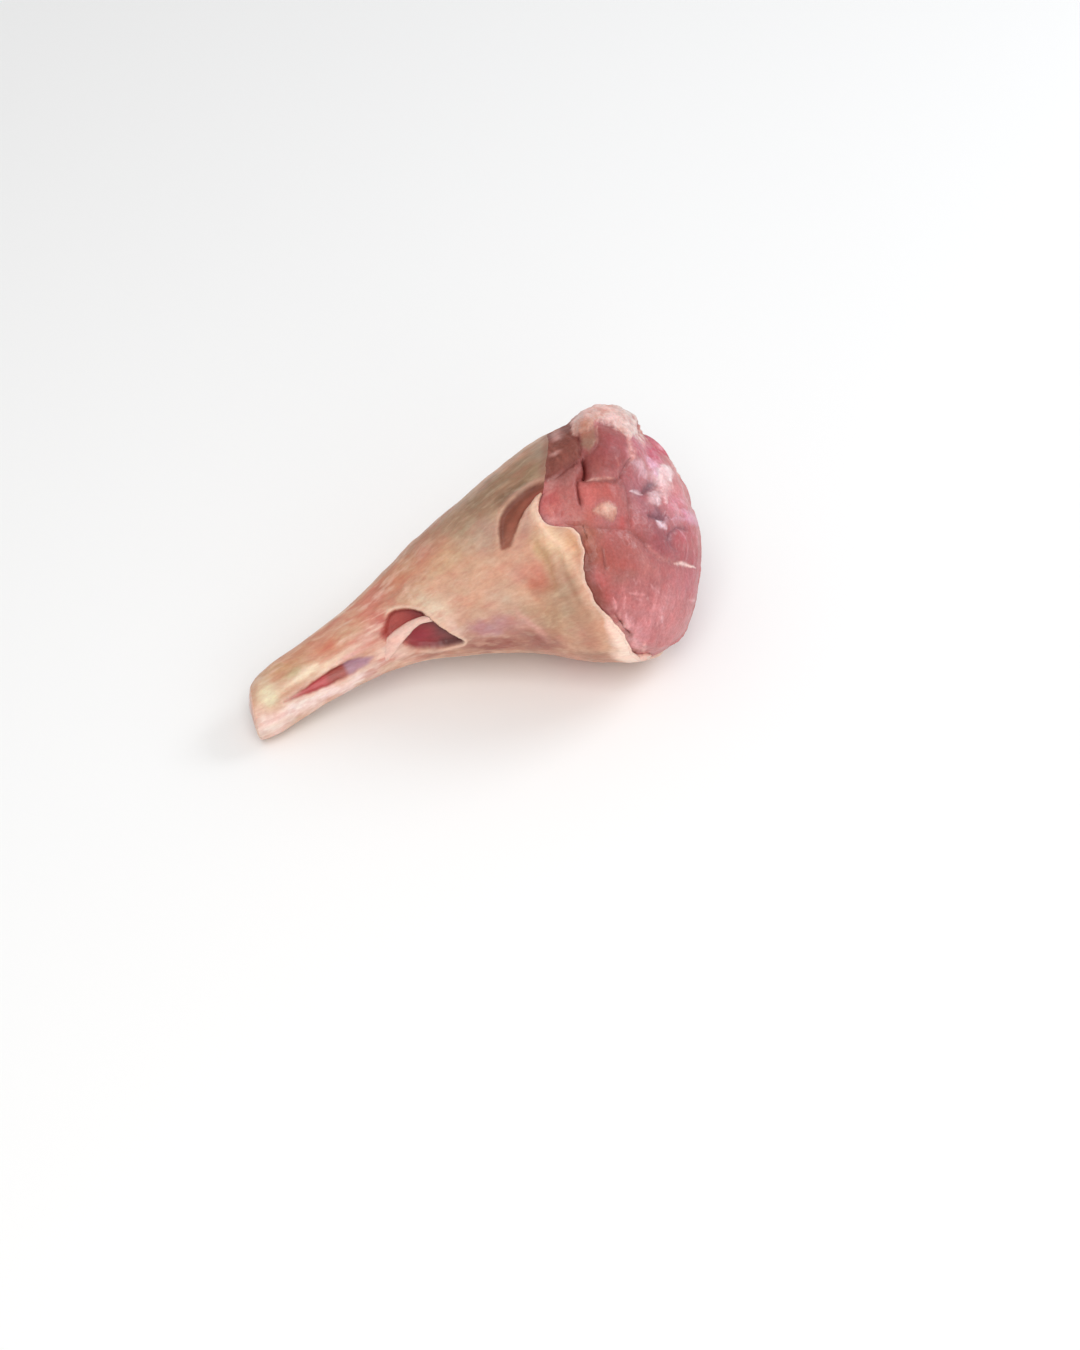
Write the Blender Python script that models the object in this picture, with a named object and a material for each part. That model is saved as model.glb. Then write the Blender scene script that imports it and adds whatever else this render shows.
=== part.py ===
"""Raw lamb hind shank, lying on its belly.

The shank is shaped in its own straight frame first: X runs along the bone from the hock to the
knee, Z points to the shin side, and -Y is the side that lies upwards. It is then rolled and
pitched onto the floor, where its soft underside flattens.
"""

import math

import bmesh
import bpy
import numpy as np
from mathutils import Matrix, Vector

MM = 0.001

# The lie of the shank: rolled about its bone, then pitched up towards the knee.
LIE_ROLL = math.radians(53.2)
LIE_PITCH = math.radians(17.0)
START = Vector((-92.4 * MM, 0.2 * MM, 4.3 * MM))  # the shank frame's origin in the part's frame

# Body: place along the bone, shin side, calf side, shown side, hidden side, sideways bow.
BODY = [
    (-6.0 * MM, 4.0 * MM, -11.8 * MM, 9.8 * MM, 9.8 * MM, -9.1 * MM),
    (-1.5 * MM, 8.6 * MM, -12.7 * MM, 10.8 * MM, 10.8 * MM, -8.8 * MM),
    (3.5 * MM, 12.3 * MM, -12.8 * MM, 11.3 * MM, 11.3 * MM, -8.3 * MM),
    (10 * MM, 14.4 * MM, -12.1 * MM, 11.6 * MM, 11.7 * MM, -7.6 * MM),
    (26 * MM, 17.0 * MM, -10.7 * MM, 11.8 * MM, 12.4 * MM, -6.0 * MM),
    (46 * MM, 20.9 * MM, -10.3 * MM, 13.3 * MM, 15.2 * MM, -4.0 * MM),
    (66 * MM, 27.0 * MM, -12.5 * MM, 17.0 * MM, 21.0 * MM, -2.2 * MM),
    (88 * MM, 34.2 * MM, -21.0 * MM, 23.9 * MM, 30.0 * MM, -0.7 * MM),
    (110 * MM, 39.7 * MM, -31.6 * MM, 30.4 * MM, 39.0 * MM, 0.0 * MM),
    (132 * MM, 44.4 * MM, -46.0 * MM, 35.9 * MM, 45.5 * MM, 0.0 * MM),
    (153 * MM, 47.3 * MM, -54.0 * MM, 38.6 * MM, 46.5 * MM, 0.0 * MM),
    (175 * MM, 46.6 * MM, -52.0 * MM, 38.6 * MM, 44.0 * MM, 0.0 * MM),
    (204 * MM, 43.0 * MM, -47.0 * MM, 36.0 * MM, 41.0 * MM, 0.0 * MM),
]
SQUARENESS = 2.25  # 2 is an ellipse

# Hock end: cut a little aslant, and slightly domed.
HOCK_CUT = -1.4 * MM
HOCK_SLANT = 0.28
HOCK_DOME = 1.8 * MM

# Knee end: an oblique cut that turns back on the hidden side.
KNEE_CUT = 173.6 * MM
KNEE_TURN = 0.66  # how much further the cut lies away from the shown side
KNEE_LEAN = 0.10  # how much further it lies on the shin side
KNEE_ROUND = 20.0  # how fast it turns back on the hidden side, for each metre
KNEE_DROP = 6.0 * MM  # how far it falls back on the calf side
KNEE_DROP_FROM = 10 * MM
KNEE_DROP_TO = 45 * MM
KNEE_DOME = 12.0 * MM

# How an end swells between its rim and its middle.
END_FLATNESS = 2.6
END_FULLNESS = 0.55
RIM_SOFTNESS = 0.16  # share of the radius in which the muscles rise

# Muscle bundles on the cut: sideways, towards the shin, radius, height.
MUSCLES = [
    (-10 * MM, -20 * MM, 25 * MM, 7.5 * MM),
    (-30 * MM, 14 * MM, 11 * MM, 5.5 * MM),
    (-14 * MM, 27 * MM, 11 * MM, 6.0 * MM),
    (4 * MM, 9 * MM, 13 * MM, 4.8 * MM),
    (25 * MM, -20 * MM, 17 * MM, 5.4 * MM),
    (20 * MM, 3 * MM, 13 * MM, 5.0 * MM),
    (10 * MM, 34 * MM, 12 * MM, 3.0 * MM),
]
SEAM_SOFTNESS = 0.45 * MM

# Gristle lump on top of the knee end.
LUMP_PLACE = 179 * MM
LUMP_LENGTH = 9 * MM
LUMP_ANGLE = math.radians(84)
LUMP_SPREAD = math.radians(21)
LUMP_HEIGHT = 4.0 * MM

# The fell's edge, openings and strand are drawn in perspective: as seen from this far off, by an
# eye straight ahead of this place and height.
VIEW_DISTANCE = 1104 * MM
VIEW_CENTRE = np.array([107.5 * MM, -39.2 * MM])

# Edge of the fell, the fatty skin: its place along the bone against the height, both as seen.
FELL_EDGE = [
    (-56.0 * MM, 147.0 * MM),
    (-48.0 * MM, 145.5 * MM),
    (-42.5 * MM, 146.0 * MM),
    (-35.0 * MM, 145.0 * MM),
    (-27.5 * MM, 143.0 * MM),
    (-19.5 * MM, 141.7 * MM),
    (-10.0 * MM, 143.7 * MM),
    (-2.0 * MM, 146.8 * MM),
    (3.0 * MM, 147.6 * MM),
    (9.0 * MM, 144.6 * MM),
    (14.0 * MM, 139.6 * MM),
    (19.0 * MM, 138.6 * MM),
    (25.5 * MM, 141.0 * MM),
    (32.0 * MM, 145.2 * MM),
    (38.0 * MM, 149.6 * MM),
    (45.0 * MM, 153.4 * MM),
    (49.0 * MM, 156.0 * MM),
]
FELL_THICK = 2.0 * MM
FELL_BACK_GAP = 8.0 * MM  # bare meat between the fell and the cut on the hidden side
FELL_RIM_GAP = 2.5 * MM  # least bare meat between the fell and the cut
FELL_TURN = (-0.35, 0.1)  # cosines between which its edge passes from the hidden to the shown side
LIP = [(-0.6, 0.0), (0.0, 0.35), (0.1, 1.0)]  # place and depth of its edge, in thicknesses
BARE_SHARES = (0.4, 0.75)  # loops on the bare meat between the fell and the cut

# Achilles groove between shin bone and tendon.
GROOVE_HEIGHT = -2.4 * MM
GROOVE_WIDTH = 3.1 * MM
GROOVE_DEPTH = 2.4 * MM
GROOVE_START = -4 * MM
GROOVE_END = 55 * MM
GROOVE_FADE = 12 * MM

# Openings torn in the fell, as outlines of places and heights as seen.
WINDOW = [
    (56.5 * MM, 4.0 * MM),
    (60.0 * MM, 8.3 * MM),
    (65.5 * MM, 11.3 * MM),
    (72.0 * MM, 9.4 * MM),
    (77.0 * MM, 4.3 * MM),
    (80.5 * MM, -3.5 * MM),
    (85.6 * MM, -13.0 * MM),
    (79.0 * MM, -11.4 * MM),
    (70.0 * MM, -8.0 * MM),
    (63.0 * MM, -3.2 * MM),
]
WINDOW_DEPTH = 4.4 * MM
SLIT = [
    (9.5 * MM, -1.6 * MM),
    (20.0 * MM, 0.2 * MM),
    (34.0 * MM, 1.6 * MM),
    (45.0 * MM, 1.2 * MM),
    (51.0 * MM, -1.2 * MM),
    (44.0 * MM, -3.5 * MM),
    (34.0 * MM, -4.0 * MM),
    (23.0 * MM, -3.7 * MM),
]
SLIT_DEPTH = 2.4 * MM
CRESCENT = [
    (150.0 * MM, 30.9 * MM),
    (143.0 * MM, 31.3 * MM),
    (136.0 * MM, 31.2 * MM),
    (128.0 * MM, 28.8 * MM),
    (122.0 * MM, 24.6 * MM),
    (118.4 * MM, 18.6 * MM),
    (117.6 * MM, 14.2 * MM),
    (121.2 * MM, 14.8 * MM),
    (126.0 * MM, 19.6 * MM),
    (132.0 * MM, 23.4 * MM),
    (138.0 * MM, 26.2 * MM),
    (150.0 * MM, 26.4 * MM),
]
CRESCENT_DEPTH = 2.6 * MM
FLOOR_SHARE = 0.72  # width of an opening's floor against its mouth
WAIST_DEPTH = 0.4  # share of the depth down to which its walls stand straight
CUTTER_REACH = 11 * MM

# Tendon strand across the window: place and height as seen, and half width.
STRAND = [
    (53.0 * MM, -6.0 * MM, 3.4 * MM),
    (60.0 * MM, 0.8 * MM, 2.7 * MM),
    (66.0 * MM, 3.1 * MM, 2.0 * MM),
    (72.0 * MM, 3.1 * MM, 1.6 * MM),
    (78.0 * MM, 1.6 * MM, 1.4 * MM),
    (83.5 * MM, -1.0 * MM, 1.4 * MM),
]
STRAND_SINK = 1.8 * MM  # its middle below the outer surface
STRAND_FLATNESS = 0.62
STRAND_SLANT = 0.4
STRAND_LOOPS = 13
STRAND_AROUND = 12

# Shin bone: place, height, sideways, half height, half width.
BONE = [
    (-8 * MM, 0.2 * MM, -9.0 * MM, 6.6 * MM, 6.2 * MM),
    (5.5 * MM, 2.4 * MM, -7.8 * MM, 7.2 * MM, 6.8 * MM),
    (24 * MM, 6.0 * MM, -5.9 * MM, 6.0 * MM, 5.9 * MM),
    (64 * MM, 12.0 * MM, -1.5 * MM, 6.0 * MM, 6.2 * MM),
    (110 * MM, 20.0 * MM, 5.0 * MM, 6.8 * MM, 7.2 * MM),
    (147 * MM, 23.0 * MM, 15.5 * MM, 9.5 * MM, 10.5 * MM),
    (168 * MM, 22.0 * MM, 23.0 * MM, 12.5 * MM, 12.5 * MM),
]
BONE_END_PROUD = 0.8 * MM  # how far the bone stands out of the hock cut
BONE_END_DOME = 1.8 * MM
BONE_HEAD_PROUD = 0.8 * MM  # how far the joint face stands out of the knee cut
BONE_HEAD_DOME = 3.2 * MM
BONE_END_FLATNESS = 2.2
BONE_END_SHARES = (0.93, 0.76, 0.5, 0.24)  # radii of the loops on a rounded end
CONDYLE_DIP = 1.6 * MM  # hollow between the two halves of the joint face
CONDYLE_GAP = 5.0 * MM
CLEARANCE = 0.35 * MM  # between bone and meat
TUNNEL_REACH = 14 * MM  # how far the bone's tunnel runs past its ends

# Mesh density
AROUND = 76
BODY_STEP = 5.0 * MM
HOCK_RINGS = 5
KNEE_RINGS = 12
BONE_AROUND = 28
BONE_STEP = 9.0 * MM
SETTLE_STEPS = 40  # enough for a search to settle within a hundredth of a millimetre
SIGHT_STEPS = 4  # enough to find the point of the surface that a line of sight meets
SHARP_ANGLE = math.radians(48)


def through(rows, place):
    """Smooth curves through the rows of a table, read at each place: one array per column."""
    table = np.asarray(rows, float)
    stations, values = table[:, 0], table[:, 1:]
    slopes = np.gradient(values, stations, axis=0)
    place = np.clip(np.asarray(place, float), stations[0], stations[-1])
    before = np.clip(np.searchsorted(stations, place, side="right") - 1, 0, len(stations) - 2)
    gap = (stations[before + 1] - stations[before])[..., None]
    share = (place - stations[before])[..., None] / gap
    start, end = values[before], values[before + 1]
    leave, arrive = slopes[before] * gap, slopes[before + 1] * gap
    curve = (
        start * (1 + 2 * share) * (1 - share) ** 2
        + leave * share * (1 - share) ** 2
        + end * share**2 * (3 - 2 * share)
        + arrive * share**2 * (share - 1)
    )
    return np.moveaxis(curve, -1, 0)


def smooth_step(value, low, high):
    """0 below low, 1 above high, and a smooth rise between."""
    share = np.clip((value - low) / (high - low), 0, 1)
    return share * share * (3 - 2 * share)


def bump(value, middle, width):
    """A smooth hump of height 1."""
    off = (value - middle) / width
    return np.exp(-off * off)


def cross_section(place, angle):
    """Sideways position and height of the body's surface.

    The angle is 0 on the shown side and 90 degrees at the shin.
    """
    shin, calf, shown, hidden, bow = through(BODY, place)
    middle = (shin + calf) / 2
    half = (shin - calf) / 2
    side, up = np.cos(angle), np.sin(angle)
    width = np.where(side > 0, shown, hidden)
    radius = (np.abs(side / width) ** SQUARENESS + np.abs(up / half) ** SQUARENESS) ** (-1 / SQUARENESS)
    along = smooth_step(place, GROOVE_START, GROOVE_START + GROOVE_FADE)
    along = along * (1 - smooth_step(place, GROOVE_END - GROOVE_FADE, GROOVE_END))
    groove = GROOVE_DEPTH * along * bump(middle + radius * up, GROOVE_HEIGHT, GROOVE_WIDTH)
    lump = LUMP_HEIGHT * bump(place, LUMP_PLACE, LUMP_LENGTH) * bump(angle, LUMP_ANGLE, LUMP_SPREAD)
    radius = radius - groove + lump
    return bow - radius * side, middle + radius * up


def hock_plane(side, height):
    """Place of the slanted hock cut."""
    return HOCK_CUT + HOCK_SLANT * height + 0 * side


def knee_plane(side, height):
    """Place of the oblique knee cut before it swells."""
    back = np.maximum(side, 0)
    drop = KNEE_DROP * smooth_step(-height, KNEE_DROP_FROM, KNEE_DROP_TO)
    return KNEE_CUT + KNEE_TURN * side - KNEE_ROUND * back * back + KNEE_LEAN * height - drop


def muscle_relief(side, height):
    """Bulges of the muscle bundles, meeting in seams."""
    domes = [
        peak * (1 - ((side - at) ** 2 + (height - up) ** 2) / (2 * radius**2))
        for at, up, radius, peak in MUSCLES
    ]
    return SEAM_SOFTNESS * np.log(sum(np.exp(dome / SEAM_SOFTNESS) for dome in domes))


def solve_place(target, angle, start):
    """Place along the bone where the body's surface meets a cut given by its position."""
    place = np.full(angle.shape, start, float)
    for _ in range(SETTLE_STEPS):
        side, height = cross_section(place, angle)
        place = place + 0.5 * (target(side, height) - place)
    return place


def edge_place(side, height):
    """Place of the fell's edge at a point that is seen in line with it."""
    nearer = VIEW_DISTANCE / (VIEW_DISTANCE + side)
    seen_height = VIEW_CENTRE[1] + (height - VIEW_CENTRE[1]) * nearer
    return VIEW_CENTRE[0] + (through(FELL_EDGE, seen_height)[0] - VIEW_CENTRE[0]) / nearer


def fell_edge(angle, knee):
    """Place where the fell ends, ahead of the knee cut."""
    shown = smooth_step(np.cos(angle), *FELL_TURN)
    front = solve_place(edge_place, angle, FELL_EDGE[0][1])
    back = knee - FELL_BACK_GAP
    return np.minimum(front * shown + back * (1 - shown), knee - FELL_RIM_GAP)


def loop_points(place, angle, inset=0.0):
    """One loop of points on the body, set in from its surface."""
    shin, calf, _, _, bow = through(BODY, place)
    side, height = cross_section(place, angle)
    to_side, to_height = side - bow, height - (shin + calf) / 2
    length = np.hypot(to_side, to_height)
    keep = (length - inset) / length
    return np.stack([place, bow + to_side * keep, (shin + calf) / 2 + to_height * keep], axis=1)


def end_place(side, height, share, plane, dome, relief):
    """Place of a swollen end. The share is 0 in its middle and 1 at its rim."""
    swell = dome * np.maximum(1 - share**END_FLATNESS, 0) ** END_FULLNESS
    lifted = relief(side, height) * smooth_step(1 - share, 0.0, RIM_SOFTNESS)
    return plane(side, height) + swell + lifted


def end_loops(rim, plane, dome, relief, rings):
    """Loops from a rim to the middle of a swollen end, and its middle point."""
    middle = rim[:, 1:].mean(axis=0)
    loops = []
    for ring in range(1, rings):
        share = math.cos(ring / rings * math.pi / 2)
        side, height = (middle + (rim[:, 1:] - middle) * share).T
        loops.append(np.column_stack([end_place(side, height, share, plane, dome, relief), side, height]))
    tip = end_place(middle[0], middle[1], 0.0, plane, dome, relief)
    return loops, np.array([tip, *middle])


def no_relief(side, height):
    """A smooth end."""
    return 0 * side * height


def knee_rim(angle):
    """The rim of the knee cut."""
    return loop_points(solve_place(knee_plane, angle, KNEE_CUT), angle, FELL_THICK)


def knee_surface(side, height):
    """Place of the knee cut's surface at any point inside its rim."""
    rim = knee_rim(np.linspace(0, 2 * math.pi, AROUND, endpoint=False))[:, 1:]
    middle = rim.mean(axis=0)
    spokes = rim - middle
    turns = np.arctan2(spokes[:, 1], spokes[:, 0])
    order = np.argsort(turns)
    turn = np.arctan2(height - middle[1], side - middle[0])
    reach = np.interp(turn, turns[order], np.hypot(*spokes.T)[order], period=2 * math.pi)
    share = np.minimum(np.hypot(side - middle[0], height - middle[1]) / reach, 1)
    return end_place(side, height, share, knee_plane, KNEE_DOME, muscle_relief)


def meat_loops():
    """Loops of the meat from the hock end to the knee end, and the middle points of both ends."""
    angle = np.linspace(0, 2 * math.pi, AROUND, endpoint=False)
    hock = solve_place(hock_plane, angle, HOCK_CUT)
    knee = solve_place(knee_plane, angle, KNEE_CUT)
    edge = fell_edge(angle, knee)
    hock_rim = loop_points(hock, angle)
    hock_end, hock_middle = end_loops(hock_rim, hock_plane, -HOCK_DOME, no_relief, HOCK_RINGS)
    steps = round(float((edge - hock).mean()) / BODY_STEP)
    body = [loop_points(hock + (edge - hock) * step / steps, angle) for step in range(1, steps)]
    lip = [loop_points(edge + on * FELL_THICK, angle, down * FELL_THICK) for on, down in LIP]
    bare = [loop_points(edge + (knee - edge) * share, angle, FELL_THICK) for share in BARE_SHARES]
    rim = knee_rim(angle)
    knee_end, knee_middle = end_loops(rim, knee_plane, KNEE_DOME, muscle_relief, KNEE_RINGS)
    loops = hock_end[::-1] + [hock_rim] + body + lip + bare + [rim] + knee_end
    return loops, hock_middle, knee_middle


def lie_matrix():
    """From the shank's own frame to the part's frame."""
    turn = Matrix.Rotation(-LIE_PITCH, 4, "Y") @ Matrix.Rotation(-LIE_ROLL, 4, "X")
    return Matrix.Translation(START) @ turn


def closed_loft(name, loops, first, last):
    """A closed mesh object from loops of equal length and a point at each end."""
    mesh = bpy.data.meshes.new(name)
    shape = bmesh.new()
    rings = [[shape.verts.new(point) for point in loop] for loop in loops]
    count = len(rings[0])
    for near, far in zip(rings, rings[1:]):
        for i in range(count):
            j = (i + 1) % count
            shape.faces.new((near[i], near[j], far[j], far[i]))
    for ring, tip in ((rings[0], first), (rings[-1], last)):
        middle = shape.verts.new(tip)
        for i in range(count):
            shape.faces.new((ring[i], ring[(i + 1) % count], middle))
    bmesh.ops.recalc_face_normals(shape, faces=shape.faces)
    shape.to_mesh(mesh)
    shape.free()
    made = bpy.data.objects.new(name, mesh)
    bpy.context.scene.collection.objects.link(made)
    return made


def as_cutter(made):
    """Marks an object that only shapes another one."""
    made.hide_render = True
    made.display_type = "WIRE"
    return made


def shown_side(place, height):
    """Sideways position of the body's shown surface at a place and height."""
    low, high = -0.5 * math.pi, 0.5 * math.pi
    for _ in range(SETTLE_STEPS):
        middle = (low + high) / 2
        if cross_section(np.array(place), np.array(middle))[1] < height:
            low = middle
        else:
            high = middle
    return float(cross_section(np.array(place), np.array(low))[0])


def on_shown_side(seen):
    """Place and height on the body's shown surface of a point drawn as seen."""
    point = np.array(seen)
    for _ in range(SIGHT_STEPS):
        point = VIEW_CENTRE + (seen - VIEW_CENTRE) * (1 + shown_side(*point) / VIEW_DISTANCE)
    return point


def smooth_outline(corners, per_side=3):
    """More points along a closed outline, on a Catmull-Rom curve through its corners."""
    count = len(corners)
    points = []
    for i in range(count):
        a, b, c, d = (np.array(corners[(i + k - 1) % count]) for k in range(4))
        bend = 2 * a - 5 * b + 4 * c - d
        twist = 3 * (b - c) + d - a
        for step in range(per_side):
            t = step / per_side
            points.append((2 * b + (c - a) * t + bend * t * t + twist * t**3) / 2)
    return points


def opening_cutter(name, corners, depth):
    """A cutter that sinks an outline into the shown side, with its floor following the surface."""
    outline = [on_shown_side(point) for point in smooth_outline(corners)]
    middle = np.mean(outline, axis=0)
    floor, waist, mouth = [], [], []
    for point in outline:
        inner = middle + (point - middle) * FLOOR_SHARE
        floor.append((inner[0], shown_side(*inner) + depth, inner[1]))
        waist.append((point[0], shown_side(*point) + WAIST_DEPTH * depth, point[1]))
        mouth.append((point[0], shown_side(*point) - CUTTER_REACH, point[1]))
    low = (middle[0], shown_side(*middle) + depth, middle[1])
    high = (middle[0], min(point[1] for point in mouth), middle[1])
    return as_cutter(closed_loft(name, [floor, waist, mouth], low, high))


def bone_ring(place, swell):
    """Sideways positions and heights of the bone's surface, all round."""
    angle = np.linspace(0, 2 * math.pi, BONE_AROUND, endpoint=False)
    up, side, half, width = through(BONE, place)
    return side - (width + swell) * np.cos(angle), up + (half + swell) * np.sin(angle)


def bone_end(ring, rise, dip):
    """Loops and a tip that round off one end of the bone."""
    middle = ring.mean(axis=0)
    loops = []
    for share in BONE_END_SHARES:
        points = middle + (ring - middle) * share
        swell = rise * (1 - share**BONE_END_FLATNESS)
        points[:, 0] += swell - dip * bump(points[:, 1], middle[1], CONDYLE_GAP)
        loops.append(points)
    return loops, middle + np.array([rise - dip, 0.0, 0.0])


def bone_loft(name, swell, extra):
    """The shin bone from hock to knee. swell widens it all round, and extra lengthens its ends."""
    first = hock_plane(*bone_ring(BONE[0][0], swell)) - BONE_END_PROUD
    last = knee_surface(*bone_ring(BONE[-1][0], swell)) + BONE_HEAD_PROUD
    steps = round(float((last - first).mean()) / BONE_STEP)
    loops = []
    for step in range(steps + 1):
        place = first + (last - first) * step / steps
        loops.append(np.column_stack([place, *bone_ring(place, swell)]))
    dip = CONDYLE_DIP if extra == 0 else 0.0
    hock, hock_tip = bone_end(loops[0], -BONE_END_DOME - extra, 0.0)
    head, head_tip = bone_end(loops[-1], BONE_HEAD_DOME + extra, dip)
    return closed_loft(name, hock[::-1] + loops + head, hock_tip, head_tip)


def strand_loft():
    """The tendon strand that bridges the window, its ends buried in the meat."""
    angle = np.linspace(0, 2 * math.pi, STRAND_AROUND, endpoint=False)
    loops = []
    for seen_place in np.linspace(STRAND[0][0], STRAND[-1][0], STRAND_LOOPS):
        seen_height, half = through(STRAND, seen_place)
        place, height = on_shown_side((seen_place, seen_height))
        along = place - np.sin(angle) * half * STRAND_SLANT
        side = shown_side(place, height) + STRAND_SINK - np.cos(angle) * half * STRAND_FLATNESS
        loops.append(np.column_stack([along, side, height + np.sin(angle) * half]))
    return closed_loft("tendon_strand", loops, loops[0].mean(axis=0), loops[-1].mean(axis=0))


def boolean(target, other, operation):
    """Adds an exact Boolean of another object to the target."""
    step = target.modifiers.new(operation.lower() + "_" + other.name, "BOOLEAN")
    step.operation = operation
    step.solver = "EXACT"
    step.object = other


def press_flat(made):
    """Flattens what would reach below the floor, as the soft meat does under its own weight."""
    for vertex in made.data.vertices:
        vertex.co.z = max(vertex.co.z, 0.0)


def finish_look(made, name, colour, roughness):
    """Smooth shading and a plain material."""
    made.data.shade_smooth()
    made.data.set_sharp_from_angle(angle=SHARP_ANGLE)
    material = bpy.data.materials.new(name)
    material.use_nodes = True
    surface = material.node_tree.nodes["Principled BSDF"]
    surface.inputs["Base Color"].default_value = (*colour, 1)
    surface.inputs["Roughness"].default_value = roughness
    surface.inputs["Metallic"].default_value = 0.0
    made.data.materials.clear()
    made.data.materials.append(material)


def build():
    """Builds the meat with its fell, and the shin bone that runs through it."""
    for old in list(bpy.data.objects):
        bpy.data.objects.remove(old)
    meat = closed_loft("shank_meat", *meat_loops())
    bone = bone_loft("shin_bone", 0.0, 0.0)
    cutters = [
        opening_cutter("window_cutter", WINDOW, WINDOW_DEPTH),
        opening_cutter("slit_cutter", SLIT, SLIT_DEPTH),
        opening_cutter("crescent_cutter", CRESCENT, CRESCENT_DEPTH),
    ]
    strand = as_cutter(strand_loft())
    tunnel = as_cutter(bone_loft("bone_tunnel", CLEARANCE, TUNNEL_REACH))

    for made in (meat, bone, strand, tunnel, *cutters):
        made.data.transform(lie_matrix())
    press_flat(meat)

    for cutter in cutters:
        boolean(meat, cutter, "DIFFERENCE")
    boolean(meat, strand, "UNION")
    boolean(meat, tunnel, "DIFFERENCE")
    finish_look(meat, "meat_and_fell", (0.62, 0.30, 0.22), 0.45)
    finish_look(bone, "bone", (0.80, 0.66, 0.55), 0.4)


build()
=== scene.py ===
"""Looks of the raw lamb shank: fell, lean meat, fat, sinews and bone.

Lengths are millimetres in the shank's own frame, as its solids have it: X runs along the bone from
the hock to the knee, Z points to the shin side, and -Y is the side that shows. A place as seen is
where the viewer sees a point, measured on the plane through the bone.
"""

import itertools
import math

import bpy
import numpy as np
from mathutils import Matrix, Vector


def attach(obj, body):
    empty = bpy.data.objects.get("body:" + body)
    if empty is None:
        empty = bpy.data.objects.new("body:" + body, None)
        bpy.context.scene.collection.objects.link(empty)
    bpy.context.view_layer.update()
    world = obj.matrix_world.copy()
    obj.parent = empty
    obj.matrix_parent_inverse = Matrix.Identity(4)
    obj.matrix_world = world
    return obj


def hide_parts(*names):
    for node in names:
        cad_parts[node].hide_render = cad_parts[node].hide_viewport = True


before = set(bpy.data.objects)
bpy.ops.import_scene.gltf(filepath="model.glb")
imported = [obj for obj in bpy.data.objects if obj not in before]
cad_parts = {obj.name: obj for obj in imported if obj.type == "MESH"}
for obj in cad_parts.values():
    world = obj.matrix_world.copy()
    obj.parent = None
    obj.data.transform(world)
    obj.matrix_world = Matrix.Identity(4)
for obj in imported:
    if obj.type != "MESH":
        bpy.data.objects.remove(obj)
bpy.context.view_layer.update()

MM = 0.001

# The lie of the shank, as its solids have it.
LIE_ROLL = math.radians(53.2)
LIE_PITCH = math.radians(17.0)
START = (-92.4, 0.2, 4.3)

# The viewer: how far from the bone, and the point that is straight ahead.
VIEW_DISTANCE = 1104.0
VIEW_CENTRE = (107.5, -39.2)
LENS = 72.0

# Body: place along the bone, shin side, calf side, shown side, hidden side, sideways bow.
BODY = [
    (-6.0, 4.0, -11.8, 9.8, 9.8, -9.1),
    (-1.5, 8.6, -12.7, 10.8, 10.8, -8.8),
    (3.5, 12.3, -12.8, 11.3, 11.3, -8.3),
    (10, 14.4, -12.1, 11.6, 11.7, -7.6),
    (26, 17.0, -10.7, 11.8, 12.4, -6.0),
    (46, 20.9, -10.3, 13.3, 15.2, -4.0),
    (66, 27.0, -12.5, 17.0, 21.0, -2.2),
    (88, 34.2, -21.0, 23.9, 30.0, -0.7),
    (110, 39.7, -31.6, 30.4, 39.0, 0.0),
    (132, 44.4, -46.0, 35.9, 45.5, 0.0),
    (153, 47.3, -54.0, 38.6, 46.5, 0.0),
    (175, 46.6, -52.0, 38.6, 44.0, 0.0),
    (204, 43.0, -47.0, 36.0, 41.0, 0.0),
]
SQUARENESS = 2.25
HOCK_CUT, HOCK_SLANT, HOCK_DOME = -1.4, 0.28, 1.8
KNEE_CUT, KNEE_TURN, KNEE_LEAN, KNEE_ROUND, KNEE_DOME = 173.6, 0.66, 0.10, 0.020, 12.0
KNEE_DROP, KNEE_DROP_FROM, KNEE_DROP_TO = 6.0, 10, 45
END_FLATNESS, END_FULLNESS, RIM_SOFTNESS = 2.6, 0.55, 0.16
GROOVE_HEIGHT, GROOVE_WIDTH, GROOVE_DEPTH = -2.4, 3.1, 2.4
GROOVE_START, GROOVE_END, GROOVE_FADE = -4, 55, 12
LUMP_PLACE, LUMP_LENGTH, LUMP_HEIGHT = 179, 9, 4.0
LUMP_ANGLE, LUMP_SPREAD = math.radians(84), math.radians(21)

# Muscle bundles on the cut: sideways, towards the shin, radius, height.
MUSCLES = [
    (-10, -20, 25, 7.5),
    (-30, 14, 11, 5.5),
    (-14, 27, 11, 6.0),
    (4, 9, 13, 4.8),
    (25, -20, 17, 5.4),
    (20, 3, 13, 5.0),
    (10, 34, 12, 3.0),
]
SEAM_SOFTNESS = 0.45

# Shin bone: place, height, sideways, half height, half width.
BONE = [
    (-8, 0.2, -9.0, 6.6, 6.2),
    (5.5, 2.4, -7.8, 7.2, 6.8),
    (24, 6.0, -5.9, 6.0, 5.9),
    (64, 12.0, -1.5, 6.0, 6.2),
    (110, 20.0, 5.0, 6.8, 7.2),
    (147, 23.0, 15.5, 9.5, 10.5),
    (168, 22.0, 23.0, 12.5, 12.5),
]
BONE_END_PROUD, BONE_END_DOME = 0.8, 1.8
BONE_HEAD_SUNK, BONE_HEAD_DOME, BONE_END_FLATNESS = 1.0, 4.4, 2.2
CONDYLE_DIP, CONDYLE_GAP = 1.6, 5.0
MARROW_RADIUS = 3.0

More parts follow.
